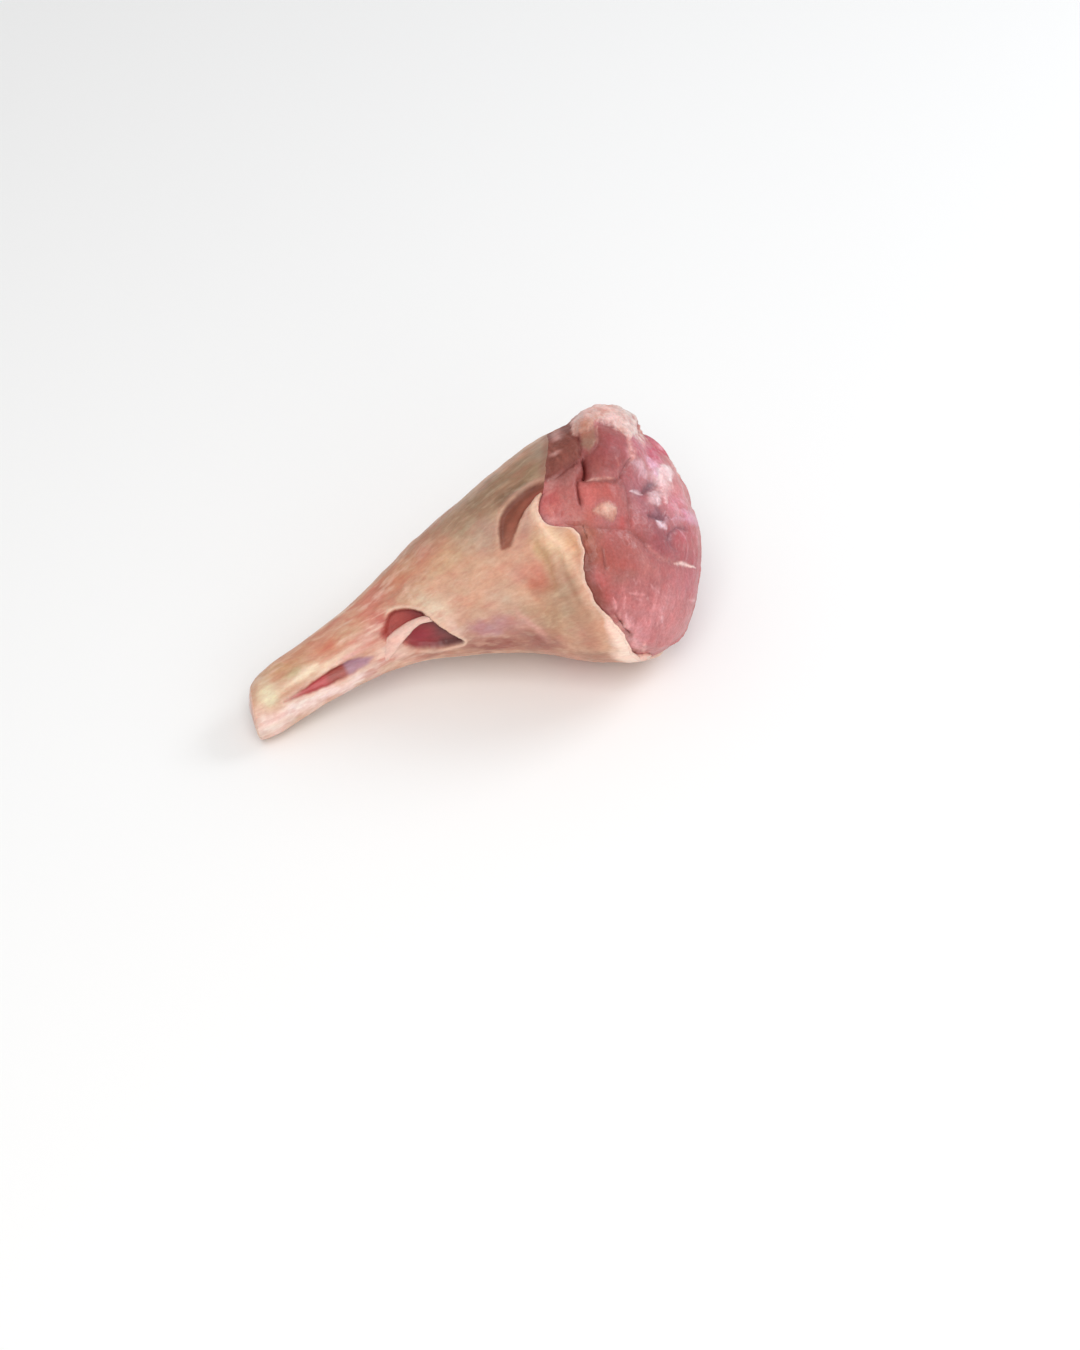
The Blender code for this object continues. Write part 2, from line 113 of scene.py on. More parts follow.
# Edge of the fell as seen: height against place along the bone.
FELL_EDGE = [
    (-56.0, 145.6), (-51.0, 145.4), (-48.0, 144.0), (-42.5, 144.2), (-38.0, 144.6), (-35.0, 143.3),
    (-31.0, 142.2), (-27.5, 141.6), (-23.5, 140.6), (-19.5, 141.0), (-15.0, 141.0), (-10.0, 142.2),
    (-6.0, 143.8), (-2.0, 146.0), (2.0, 147.4), (6.0, 147.2), (9.0, 145.6), (12.0, 140.8),
    (15.5, 137.0), (19.0, 136.4), (22.5, 137.6), (25.5, 139.4), (28.5, 142.8), (32.0, 145.2),
    (35.0, 147.6), (39.0, 150.4), (44.0, 153.2), (49.0, 156.0),
]

# Gap between the fell's edge and the cut, behind and at least, how deep the rim of the cut lies,
# and how ragged the edge is and how wavy behind.
FELL_BACK_GAP, FELL_RIM_GAP, RIM_INSET = 8.0, 2.5, 2.0
EDGE_RAGGED, EDGE_WAVES = 0.9, 4.0

# Openings torn in the fell as seen: place and height along the outline, and width of the wall there.
WINDOW = [
    (55.8, 4.2, 4.5), (58.6, 8.0, 4.0), (62.0, 10.8, 2.2), (66.0, 11.8, 0.9), (70.6, 10.4, 0.7),
    (74.6, 7.4, 0.7), (77.1, 3.4, 0.7), (79.0, -1.6, 0.7), (81.6, -6.6, 0.7), (85.8, -13.6, 0.8),
    (81.0, -13.2, 1.0), (75.0, -11.6, 1.5), (69.0, -9.0, 2.0), (64.6, -6.0, 2.8), (61.6, -2.8, 3.6),
    (57.6, 0.4, 4.5),
]
SLIT = [
    (9.0, -1.6, 1.6), (15.0, -0.9, 1.8), (20.0, -0.1, 1.8), (27.0, 1.0, 1.4), (35.0, 1.8, 1.4),
    (42.0, 1.6, 2.2), (48.0, 0.0, 3.6), (51.0, -2.0, 4.0), (47.0, -4.1, 3.4), (40.0, -4.6, 2.2),
    (32.0, -4.3, 1.3), (24.0, -3.9, 1.3), (16.0, -3.0, 1.6),
]
CRESCENT = [
    (152.0, 31.4, 1.6), (145.0, 31.5, 1.6), (140.0, 32.0, 1.7), (134.0, 31.4, 1.8),
    (128.0, 29.8, 1.9), (122.8, 27.0, 2.0), (119.2, 22.6, 2.0), (116.8, 17.2, 2.4),
    (116.2, 13.2, 3.0), (121.0, 12.8, 3.0), (124.8, 16.6, 2.6), (128.2, 20.0, 1.8),
    (132.4, 23.4, 1.2), (137.0, 25.8, 0.7), (141.4, 27.2, 0.6), (152.0, 28.0, 0.6),
]
CRESCENT_OUTER_WALL = [(112, 8), (152, 24), (152, 29.3), (134, 28.4), (124, 23)]

# Where the shown side starts and is full, as cosines of the angle round the body: for the fell's
# edge, for its looks, and for its points.
FELL_TURN, SKIN_TURN, CLOSE_TURN = (-0.35, 0.1), (-0.12, 0.16), (-0.35, 0.15)

# How much closer together the fell's points lie there, and the place whose section spaces them.
CLOSER, SPACED_AT = 1.3, 125.0

# Which points of the bare meat are painted as seen, by how far their outward directions face the
# viewer: on the cut, and on the upper muscle.
CUT_FACING, UPPER_FACING = (-0.10, 0.12), (-0.45, -0.15)

# How finely the pieces are made, and how a place on a cut is found.
SKIN_AROUND, SKIN_ALONG, HOCK_RINGS = 360, 250, 14
LIP_TURNS, STRIP_ROWS, CAP_RINGS = 10, 30, 190
TUBE_SIDES, TUBE_LOOPS = 16, 48
BONE_SIDES, BONE_LOOPS, BONE_END_RINGS = 96, 60, 24
RIM_SAMPLES, TURN_SAMPLES = 120, 2001
SOLVER_STEPS, SOLVER_SHARE = 40, 0.5
HALVINGS, SEEN_STEPS = 30, 12

# Relief of the fell: its depth below the body, and how high its unevenness is.
FELL_SINK = 0.5
WAIST_SINK, WAIST_PLACE, WAIST_LENGTH = 0.7, 84, 30
LUMPS_HIGH, FOLDS_HIGH, STREAKS_HIGH, ISLANDS_HIGH = 0.35, 0.22, 0.07, 0.6
HIDDEN_WAVES_HIGH, FLAP_WAVES_HIGH = 1.3, 0.35
HOCK_END_ROUGH = 0.25
TENDON_BELOW, TENDON_RADIUS = 9.6, 2.6

# Lip of the fell: depth of the meat beside it, and the rows beneath it in shares of its thickness,
# each with how far beyond the edge it lies and how much deeper than the meat.
MEAT_DEPTH, LOW_MEAT_RISE, UPPER_MEAT_RISE = 1.9, 0.5, 1.3
UNDER_LIP = [(-0.14, 0.12), (0.14, 0.26)]
STRIP_START, STRIP_SINK = 0.45, 0.15
LIP_ROUNDNESS, LOW_LIP_ROUNDNESS = 0.40, 0.25

# Width of the lip of the fell, and what is added from one height as seen down to another.
LIP_WIDTH = 1.2
LIP_WIDER = [(-40, -28, 5.2), (-48, -40, 3.4)]

# Openings of the fell: how ragged their walls are, height of their rims, streaks and shade inside.
WALLS_RAGGED, RIMS_HIGH, FLOOR_STREAKS, WALL_SHADE = 0.45, 0.45, 0.18, 0.22

# Relief of the bare meat, relief and mottling of the tubes, and relief of the bone.
MEAT_LUMPS, MEAT_GRAIN, MEAT_SPECKS, MEAT_BANDS = 0.35, 0.16, 0.06, 0.14
TUBE_ROUGH, TUBE_MOTTLE, BONE_ROUGH = 0.22, 0.14, 0.2

# The way that the flat side of a tube faces.
TUBE_FACE = (0.0, -1.0, 0.12)

# Collar of gristle round the joint bone: width, and depth of the seat inside it.
COLLAR_WIDTH, COLLAR_SINK = 5.5, 5.0

# Mixing numbers of the noise.
HASH_X, HASH_Y, HASH_Z, HASH_SEED, HASH_MIX = 73856093, 19349663, 83492791, 374761393, 1274126177


def through(rows, place):
    """Smooth curves through the rows of a table, read at each place: one array per column."""
    table = np.asarray(rows, float)
    stations, values = table[:, 0], table[:, 1:]
    slopes = np.gradient(values, stations, axis=0)
    place = np.clip(np.asarray(place, float), stations[0], stations[-1])
    before = np.clip(np.searchsorted(stations, place, side="right") - 1, 0, len(stations) - 2)
    gap = (stations[before + 1] - stations[before])[..., None]
    share = (place - stations[before])[..., None] / gap
    start, end = values[before], values[before + 1]
    leave, arrive = slopes[before] * gap, slopes[before + 1] * gap
    curve = (
        start * (1 + 2 * share) * (1 - share) ** 2
        + leave * share * (1 - share) ** 2
        + end * share**2 * (3 - 2 * share)
        + arrive * share**2 * (share - 1)
    )
    return np.moveaxis(curve, -1, 0)


def smooth_step(value, low, high):
    """0 below low, 1 above high, and a smooth rise between."""
    share = np.clip((value - low) / (high - low), 0, 1)
    return share * share * (3 - 2 * share)


def bump(value, middle, width):
    """A smooth hump of height 1."""
    off = (value - middle) / width
    return np.exp(-off * off)


def cross_section(place, angle):
    """Sideways position and height of the body's surface.

    The angle is 0 on the shown side and 90 degrees at the shin.
    """
    shin, calf, shown, hidden, bow = through(BODY, place)
    middle = (shin + calf) / 2
    half = (shin - calf) / 2
    side, up = np.cos(angle), np.sin(angle)
    width = np.where(side > 0, shown, hidden)
    radius = (np.abs(side / width) ** SQUARENESS + np.abs(up / half) ** SQUARENESS) ** (-1 / SQUARENESS)
    along = smooth_step(place, GROOVE_START, GROOVE_START + GROOVE_FADE)
    along = along * (1 - smooth_step(place, GROOVE_END - GROOVE_FADE, GROOVE_END))
    groove = GROOVE_DEPTH * along * bump(middle + radius * up, GROOVE_HEIGHT, GROOVE_WIDTH)
    lump = LUMP_HEIGHT * bump(place, LUMP_PLACE, LUMP_LENGTH) * bump(angle, LUMP_ANGLE, LUMP_SPREAD)
    radius = radius - groove + lump
    return bow - radius * side, middle + radius * up


def body_points(place, angle, depth=0.0):
    """Points on the body, sunk below its surface towards its axis."""
    shin, calf, _, _, bow = through(BODY, place)
    middle = (shin + calf) / 2
    side, height = cross_section(place, angle)
    length = np.hypot(side - bow, height - middle)
    keep = (length - depth) / length
    return np.stack([place, bow + (side - bow) * keep, middle + (height - middle) * keep], axis=-1)


def off_axis(points, side, height):
    """Distance of each point from a line along the shank."""
    return np.hypot(points[..., 1] - side, points[..., 2] - height)


def as_seen(points):
    """Where the viewer sees each point: place along the bone, and height."""
    nearer = VIEW_DISTANCE / (VIEW_DISTANCE + points[..., 1])
    place = VIEW_CENTRE[0] + (points[..., 0] - VIEW_CENTRE[0]) * nearer
    height = VIEW_CENTRE[1] + (points[..., 2] - VIEW_CENTRE[1]) * nearer
    return place, height


def hock_plane(side, height):
    """Place of the slanted hock cut."""
    return HOCK_CUT + HOCK_SLANT * height


def knee_plane(side, height):
    """Place of the oblique knee cut before it swells."""
    back = np.maximum(side, 0)
    drop = KNEE_DROP * smooth_step(-height, KNEE_DROP_FROM, KNEE_DROP_TO)
    return KNEE_CUT + KNEE_TURN * side - KNEE_ROUND * back * back + KNEE_LEAN * height - drop


def muscle_domes(side, height):
    """Height of each muscle bundle's dome at each point."""
    return np.array([
        peak * (1 - ((side - at) ** 2 + (height - up) ** 2) / (2 * radius**2))
        for at, up, radius, peak in MUSCLES
    ])


def muscle_relief(side, height):
    """Bulges of the muscle bundles, meeting in seams."""
    return SEAM_SOFTNESS * np.log(np.exp(muscle_domes(side, height) / SEAM_SOFTNESS).sum(axis=0))


def solve_place(plane, angle, start):
    """Place along the bone where the body's surface meets a cut."""
    place = np.full(angle.shape, start, float)
    for _ in range(SOLVER_STEPS):
        side, height = cross_section(place, angle)
        place = place + SOLVER_SHARE * (plane(side, height) - place)
    return place


def fell_edge(angle, knee):
    """Place where the fell ends: as drawn on the shown side, and a little before the cut behind."""
    place = np.full(angle.shape, FELL_EDGE[0][1])
    for _ in range(SOLVER_STEPS):
        seen_place, seen_height = as_seen(body_points(place, angle))
        place = place + SOLVER_SHARE * (through(FELL_EDGE, seen_height)[0] - seen_place)
    shown = smooth_step(np.cos(angle), *FELL_TURN)
    return np.minimum(place * shown + (knee - FELL_BACK_GAP) * (1 - shown), knee - FELL_RIM_GAP)


def end_place(side, height, share, plane, dome, relief):
    """Place of a swollen end. The share is 0 in its middle and 1 at its rim."""
    swell = dome * np.maximum(1 - share**END_FLATNESS, 0) ** END_FULLNESS
    lifted = relief(side, height) * smooth_step(1 - share, 0.0, RIM_SOFTNESS)
    return plane(side, height) + swell + lifted


def no_relief(side, height):
    """A smooth end."""
    return 0 * side * height


def knee_surface(side, height):
    """Place of the knee cut's surface at any point inside its rim."""
    angle = np.linspace(0, 2 * math.pi, RIM_SAMPLES, endpoint=False)
    rim = body_points(solve_place(knee_plane, angle, KNEE_CUT), angle, RIM_INSET)[:, 1:]
    middle = rim.mean(axis=0)
    spokes = rim - middle
    turns = np.arctan2(spokes[:, 1], spokes[:, 0])
    order = np.argsort(turns)
    turn = np.arctan2(height - middle[1], side - middle[0])
    reach = np.interp(turn, turns[order], np.hypot(*spokes.T)[order], period=2 * math.pi)
    share = np.minimum(np.hypot(side - middle[0], height - middle[1]) / reach, 1)
    return end_place(side, height, share, knee_plane, KNEE_DOME, muscle_relief)


# Noise and shapes drawn on the surface


def noise(points, size, seed):
    """Smooth noise between -1 and 1 in lumps of a given size, one number or one for each axis."""
    cell = points / np.asarray(size, float)
    base = np.floor(cell).astype(np.int64)
    part = cell - base
    part = part**3 * (part * (part * 6 - 15) + 10)
    total = 0.0
    for corner in itertools.product((0, 1), repeat=3):
        x, y, z = np.moveaxis(base + np.array(corner), -1, 0)
        mixed = (x * HASH_X) ^ (y * HASH_Y) ^ (z * HASH_Z) ^ (seed * HASH_SEED)
        mixed = ((mixed ^ (mixed >> 13)) * HASH_MIX) & 0x7FFFFFFF
        mixed = (mixed ^ (mixed >> 15)) & 0xFFFF
        weight = np.prod(np.where(np.array(corner) == 1, part, 1 - part), axis=-1)
        total = total + weight * (mixed / 32767.5 - 1)
    return total


def rough_noise(points, size, seed, octaves=3):
    """Noise in several sizes, each half the last."""
    size = np.asarray(size, float)
    layers = [noise(points, size / 2**k, seed + 11 * k) / 2**k for k in range(octaves)]
    return sum(layers) / (2 - 0.5 ** (octaves - 1))


def stretched(points, along, up=1):
    """Points scaled along the bone and upwards, so that noise made of them is stretched or squeezed."""
    return points * np.array([along, 1, up])


def leaning(points, lean, side, up):
    """Points sheared and squeezed, so that noise made of them runs across the shank."""
    place, across, height = np.moveaxis(points, -1, 0)
    return np.stack([place + lean * height, side * across, up * height], axis=-1)


def nearest_on(place, height, line):
    """Distance from each seen point to a line, and where along its points the nearest one lies."""
    nearest = np.full(place.shape, 1e9)
    where = np.zeros(place.shape)
    for k in range(len(line) - 1):
        step = line[k + 1] - line[k]
        length = math.hypot(*step)
        off_place, off_height = place - line[k, 0], height - line[k, 1]
        share = np.clip((off_place * step[0] + off_height * step[1]) / length**2, 0, 1)
        gap = np.hypot(off_place - share * step[0], off_height - share * step[1])
        closer = gap < nearest
        nearest = np.where(closer, gap, nearest)
        where = np.where(closer, k + share, where)
    return nearest, where


def depth_inside(place, height, rows):
    """How far each seen point lies inside a closed outline, less than 0 outside, and the width of
    the wall at the nearest point of the outline, which is the third number of its rows if any.
    """
    rows = np.asarray(rows, float)
    inside = np.zeros(place.shape, bool)
    for (x1, z1), (x2, z2) in zip(rows[:, :2], np.roll(rows[:, :2], -1, axis=0)):
        if z1 == z2:
            continue
        crosses = (z1 > height) != (z2 > height)
        inside ^= crosses & (place < x1 + (height - z1) * (x2 - x1) / (z2 - z1))
    closed = np.vstack([rows, rows[:1]])
    gap, where = nearest_on(place, height, closed[:, :2])
    return np.where(inside, gap, -gap), np.interp(where, np.arange(len(closed)), closed[:, -1])


def smooth_line(corners, per_side=4, closed=False):
    """More points along a line, on a Catmull-Rom curve through its corners."""
    corners = np.asarray(corners, float)
    count = len(corners)
    points = []
    for i in range(count if closed else count - 1):
        picks = [(i + k) % count if closed else min(max(i + k, 0), count - 1) for k in (-1, 0, 1, 2)]
        a, b, c, d = corners[picks]
        for step in range(per_side):
            t = step / per_side
            bend = 2 * a - 5 * b + 4 * c - d
            twist = 3 * (b - c) + d - a
            points.append((2 * b + (c - a) * t + bend * t * t + twist * t**3) / 2)
    if not closed:
        points.append(corners[-1])
    return np.array(points)


def near_lines(place, height, rows):
    """For each row of a table that starts with a line: how far each seen point is from the line,
    where along it the nearest point lies as a share of its length, and the rest of the row.
    """
    for line, *rest in rows:
        drawn = smooth_line(line)
        gap, where = nearest_on(place, height, drawn)
        yield gap, where / (len(drawn) - 1), *rest


def oval(place, height, at, radii, tilt=0.0):
    """A soft oval patch on the surface as seen, 1 in its middle."""
    turn = math.radians(tilt)
    off_place, off_height = place - at[0], height - at[1]
    along = off_place * math.cos(turn) + off_height * math.sin(turn)
    across = off_height * math.cos(turn) - off_place * math.sin(turn)
    return np.exp(-((along / radii[0]) ** 2) - (across / radii[1]) ** 2)


def warped(points, place, height, sizes, reaches, seed):
    """Seen places and heights moved about by noise of two sizes, so that edges drawn there wander."""
    for step, (size, reach) in enumerate(zip(sizes, reaches)):
        place = place + reach * noise(points, size, seed + 4 * step)
        height = height + reach * noise(points, size, seed + 4 * step + 2)
    return place, height


def rgb(colour):
    """A linear colour from six hexadecimal digits. Linear colours stay as they are."""
    if isinstance(colour, np.ndarray):
        return colour
    shares = np.array(list(colour.to_bytes(3, "big"))) / 255
    return np.where(shares > 0.04045, ((shares + 0.055) / 1.055) ** 2.4, shares / 12.92)


def paint(colours, share, colour):
    """Colours, or one colour for every point, covered by another one to a given share."""
    share = np.clip(share, 0, 1)[..., None]
    return rgb(colours) * (1 - share) + rgb(colour) * share


def paint_layers(colours, layers):
    """Paints layers in turn: a value, where it starts and where it is full, share and colour."""
    for value, low, high, share, tone in layers:
        colours = paint(colours, share * smooth_step(value, low, high), tone)
    return colours


def paint_patches(colours, place, height, patches, strength):
    """Paints soft oval patches, each with its own colour and share."""
    for x, z, length, width, tone, share, *tilt in patches:
        soft = oval(place, height, (x, z), (length, width), *tilt)
        colours = paint(colours, share * np.clip(soft * strength, 0, 1), tone)
    return colours


def finish_of(points, wet, fat):
    """Finish of each point: how wet and how fatty it is, each one number or one per point."""
    made = np.zeros(points.shape)
    made[..., 0], made[..., 2] = wet, fat
    return made


# Colours

FELL = 0xd4a88d
FELL_PINK = 0xd8a292
FELL_ORANGE = 0xd8a688
FELL_CREAM = 0xe6cab0
FELL_TAN = 0xc09a7e
FAT_PINK = 0xf4d2c2
SALMON = 0xce7c6e
OLIVE = 0x927458
DEEP_OLIVE = 0x745c44
MAUVE = 0xb8868a
RAW_RED = 0xc0524a
DEEP_RED = 0x963a38
MAROON = 0x744240
WINE = 0x962a36
SLIT_RED = 0xc85658
SLIT_DULL = 0xa85248
SLIT_PURPLE = 0xb28492
DULL_RED = 0x9c5a46
CRESCENT_WALL_SHADE = 0x7c4432

MEAT = 0xba706e
MEAT_LIGHT = 0xce8688
MEAT_DARK = 0x70342e
DEEP_SLIT_SHADE = 0x5c1612
PLUM = 0x6e424e
MEAT_DUSK = 0x8c5044
CRIMSON = 0xc85c72
FASCIA = 0xe8c4ca
LILAC_FASCIA_HIGHLIGHT = 0xe2b2ca
PEARL_FASCIA_HIGHLIGHT = 0xf0dcde
GRISTLE = 0xe8c0b6
FIBRE_FAT = 0xe8b0b2
OVERHANG_SHADOW = 0x844234
LIP_CREAM_PAINTED_LIGHT = 0xffe2d0

# Tones of the openings' floors and rims.
WINDOW_LEFT, WINDOW_LIT, WINDOW_RIM = 0xac4e46, 0xcc7a6e, 0xe8c4ae
SLIT_PALE, SLIT_RIM = 0xcc8880, 0xf0d0c2
CRESCENT_BROWN, CRESCENT_END, CRESCENT_PALE, CRESCENT_RIM = 0x864834, 0x9e5244, 0xb2725e, 0xc69a8a

# Tones of the fell: on the hidden side, its hues and bands, its streaks and threads, and its lip.
BACK_BLUSH, ISLAND_FAT, HUE_ORANGE, HUE_TAN = 0xc87e6e, 0xecd0b6, 0xdc9878, 0xd0b292
BAND_PALE, BAND_DARK, NECK_RED, NECK_PALE = 0xe4c0a4, 0xb4826a, 0xca705e, 0xf0d0c0
THREAD_PALE, LIP_FADED = 0xf0dac8, 0x966858

# Tones of the hock end, the bone and the tubes.
HOCK_FAT, HOCK_PINK, HOCK_RING, HOCK_TENDON = 0xe8ccb8, 0xdeac9c, 0xb06058, 0xf0e2d6
BONE_PALE, BONE_BLUSH, BONE_GRISTLE, MARROW = 0xe4d0c8, 0xce8a84, 0xc8c6d2, 0xbc7062
STRAND_TONE, CURL_TONE = 0xecc2b4, 0xeec8ba

# Tones of the cut: collar and seams behind, fat spot, tan strip, upper muscle, lump with painted shade
# in its dips, lobe and film.
COLLAR_PINK, SEAM_PALE, SPOT_RIM, SPOT_CORE = 0xd6968e, 0xe4bab0, 0xc68a78, 0xecc6b4
STRIP_LOW, STRIP_HIGH, UPPER_PALE, UPPER_DARK = 0x98705c, 0xa46e58, 0xa67066, 0x703a30
LUMP_PALE, LUMP_DIP_SHADE, LUMP_RIGHT, LUMP_LEFT = 0xf0ceca, 0xd69e92, 0xe2cec8, 0xbe826a
LOBE_PALE, LOBE_DARK, RIGHT_PALE, FILM_FAT = 0xde9698, 0xa85a5a, 0xe2b0be, 0xe8b2aa

# Patches on the fell as seen: place, height, half length, half width, colour, share, tilt if any.
# The olive and brown bands along the top edge are partly painted shade; the dark brown bands
# along the bottom edge, the band beside the crescent at place 132 and the band below the window
# at place 73 are painted shade; the pale strip at place 139.4 is a painted highlight.
FELL_PATCHES = [
    (100, 9, 20, 11, FELL_ORANGE, 0.6), (88, 5, 8, 10, 0xd8ac96, 0.6), (112, 3, 9, 8, 0xd49e86, 0.5),
    (104, -5, 5, 8, 0xce9e8c, 0.5, 30), (109.6, -8.6, 4.4, 7.4, 0xceb29c, 0.85, 25),
    (113, -13, 3, 8, 0xbc987a, 0.6, 70), (119, 1, 5, 4.6, 0xd69886, 0.75),
    (128, 3.4, 3.4, 4, 0xca8e74, 0.8), (124.4, -2.8, 7.4, 4.2, 0xca7a66, 0.85, 75),
    (124.6, -5.4, 4.0, 2.8, 0xc26a56, 0.7, 70), (123.6, -18, 2.8, 5, 0xcea88a, 0.6),
    (127.6, -9.4, 5, 3.2, 0xb67a5a, 0.9, -55), (131, -5, 4, 6, 0xc28c76, 0.6),
    (131.4, -19, 6, 13, 0xaa8a70, 0.85), (120, -21, 6, 8, 0xb69272, 0.75, 20),
    (132.6, -35, 4.6, 7, 0xba846c, 0.8), (139.4, -19, 1.5, 13, 0xd6a88e, 0.8),
    (130.6, 7, 3.4, 6.5, 0xceb082, 0.85), (138, 5, 3.2, 9, 0xe8c4a0, 0.95),
    (143.6, 3, 3.4, 5, 0xe2ae84, 0.85), (142.4, 10.6, 2.6, 2.4, 0xd29c86, 0.7),
    (126, 14, 8, 5, 0xca9884, 0.75, 40), (132.2, 20.6, 7, 2.4, 0xb88272, 0.9, 44),
    (136.6, 21, 6, 2.4, 0xe0ac9a, 0.85, 62), (110, 27, 9, 7, 0xae947a, 0.85),
    (115.6, 25, 3.6, 5, 0xba8e7e, 0.8), (104, 22, 6, 6, 0xbe9b82, 0.6),
    (111, 19.6, 5, 6, 0xbca08c, 0.75), (95.5, 28, 3.6, 3.2, 0xce8e76, 0.8),
    (87.5, 28, 5, 3.4, 0xce7e6e, 0.9, 14), (94, 21, 7, 6, 0xcea27e, 0.6),
    (73, 23, 10, 5, 0xc68464, 0.85, 17), (61, 19, 7, 4.6, 0xce7e70, 0.85, 17),
    (57, 12, 5, 6, 0xd07c70, 0.8, 30), (55, 8.6, 4.2, 3.6, 0xc47062, 0.9),
    (76, 14.6, 5.6, 5, 0xc48c6e, 0.9), (66, 22, 7, 2.2, 0xc47e68, 0.7, 17),
    (59.6, 7.4, 3.0, 5, RAW_RED, 1.0, -10), (68, 15.6, 7, 2.6, 0xcea28a, 0.7, 12),
    (81, 4.4, 5.2, 8.6, 0xe6d2b8, 1.0, 25), (83.6, -4.6, 2.6, 7, 0xeccab6, 0.95, 22),
    (46, 10, 8, 5, 0xc6a27e, 0.6), (50, 6, 9, 5, 0xdca498, 0.75), (40, 3.4, 6, 1.7, 0xe4aaa6, 0.85),
    (34, 12, 6.4, 3.0, 0xca7a5c, 0.9, 8), (42, 17.5, 12, 2.6, 0xd09e88, 0.7, 10),
    (17, 11.4, 9, 2.4, 0xc0946e, 0.85, 6), (18, 7.8, 5, 2.2, 0xbcaa82, 0.75),
    (25, 15.8, 12, 1.6, 0xc48a6e, 0.7, 7), (25, 4.4, 15, 2.2, 0xeed8bc, 0.95, 2),
    (4, 5, 5, 6, 0xe4d4b2, 1.0), (-1, -8, 8, 6, 0xf4dcd2, 1.0), (12, -6, 8, 3, 0xf0d8d0, 0.95),
    (20, -7, 5, 1.8, 0xdedeca, 0.7), (32, -7, 24, 2.8, 0xf2dad4, 1.0, 2),
    (58, -4, 7, 4, 0xe6beb2, 0.9, -10), (66, -10, 7, 1.8, 0xd8a08e, 0.8, -20),
    (77, -13.2, 8, 1.3, 0xe2a898, 0.8, -14), (73.4, -12.6, 9, 1.6, 0xa66856, 0.9, -22),
    (98, -13, 12, 4.4, MAUVE, 0.9, -25), (110, -19, 5, 4, 0xc48e86, 0.6, -30),
    (97, -20.5, 16, 3.4, 0x9c5c50, 0.95, -27), (115, -28, 9, 4.4, 0x9a5c50, 0.95, -35),
    (130, -43, 10, 3, 0xa06c56, 0.8, -38), (85, 33.0, 22, 2.2, 0xb8785a, 0.7, 17),
    (122, 38, 30, 5, OLIVE, 0.9, 10), (132, 33.8, 13, 2.6, DEEP_OLIVE, 0.85, 7),
    (142, 38, 9, 6, 0x96785c, 0.85), (149.6, 42, 4.4, 3.4, 0xa08c78, 0.85, 50),
    (138, 32.4, 9, 0.8, 0xbc9282, 0.5, 2),
]

# Folds of the flap as seen: line, half width, height, colour, share. The pale tones on the
# ridges are partly painted highlights, and the dark tones in the furrows partly painted shade.
FOLDS = [
    ([(139.2, 26.6), (136.4, 22.6), (135.2, 18.6), (136.4, 13), (138.4, 6), (138.6, -2)],
     1.6, 1.1, 0xf4d0b4, 0.85),
    ([(141, -4), (139.8, -13), (139.6, -22), (140.6, -31)], 1.3, 0.7, 0xe0b49a, 0.5),
    ([(130.4, 12), (131, 5), (130.4, -4), (128, -12)], 1.5, -0.8, 0xb88a64, 0.55),
    ([(142.4, 8), (143.6, 1), (142.6, -5)], 1.1, -0.5, 0xcc9474, 0.5),
    ([(136.6, 2), (136, -8), (135.4, -18), (136.6, -28)], 1.7, -0.7, 0xa4785e, 0.65),
    ([(125.6, 9), (126.8, 2), (124, -5)], 1.6, 0.4, 0xda9e8c, 0.3),
    ([(125.4, -14), (124, -20), (120.6, -27)], 1.5, -0.5, 0xaa7c62, 0.4),
    ([(110.4, -11), (113.6, -19), (116.6, -28)], 1.4, 0.7, 0xd6a094, 0.8),
    ([(104, -16), (108.4, -22), (111, -27)], 1.6, -0.5, 0xa06860, 0.5),
    ([(131, -26), (130.6, -33), (131.6, -40)], 1.4, -0.5, 0xbe806c, 0.4),
    ([(117.4, 11), (122, 8.4), (128, 9), (133, 13)], 1.4, 0.35, 0xdeb096, 0.4),
    ([(91, 10), (100, 7.4), (110, 7)], 2.2, 0.35, 0xdeb49c, 0.3),
    ([(88, -2), (98, -5), (105, -10)], 2.0, -0.35, 0xc49280, 0.3),
    ([(52, 14.6), (62, 17.4), (74, 19.4), (86, 22)], 1.5, -0.4, 0xb4705a, 0.4),
    ([(10, 8.6), (22, 9.4), (34, 8.6), (46, 9.6)], 1.2, -0.35, 0xc08c70, 0.35),
]
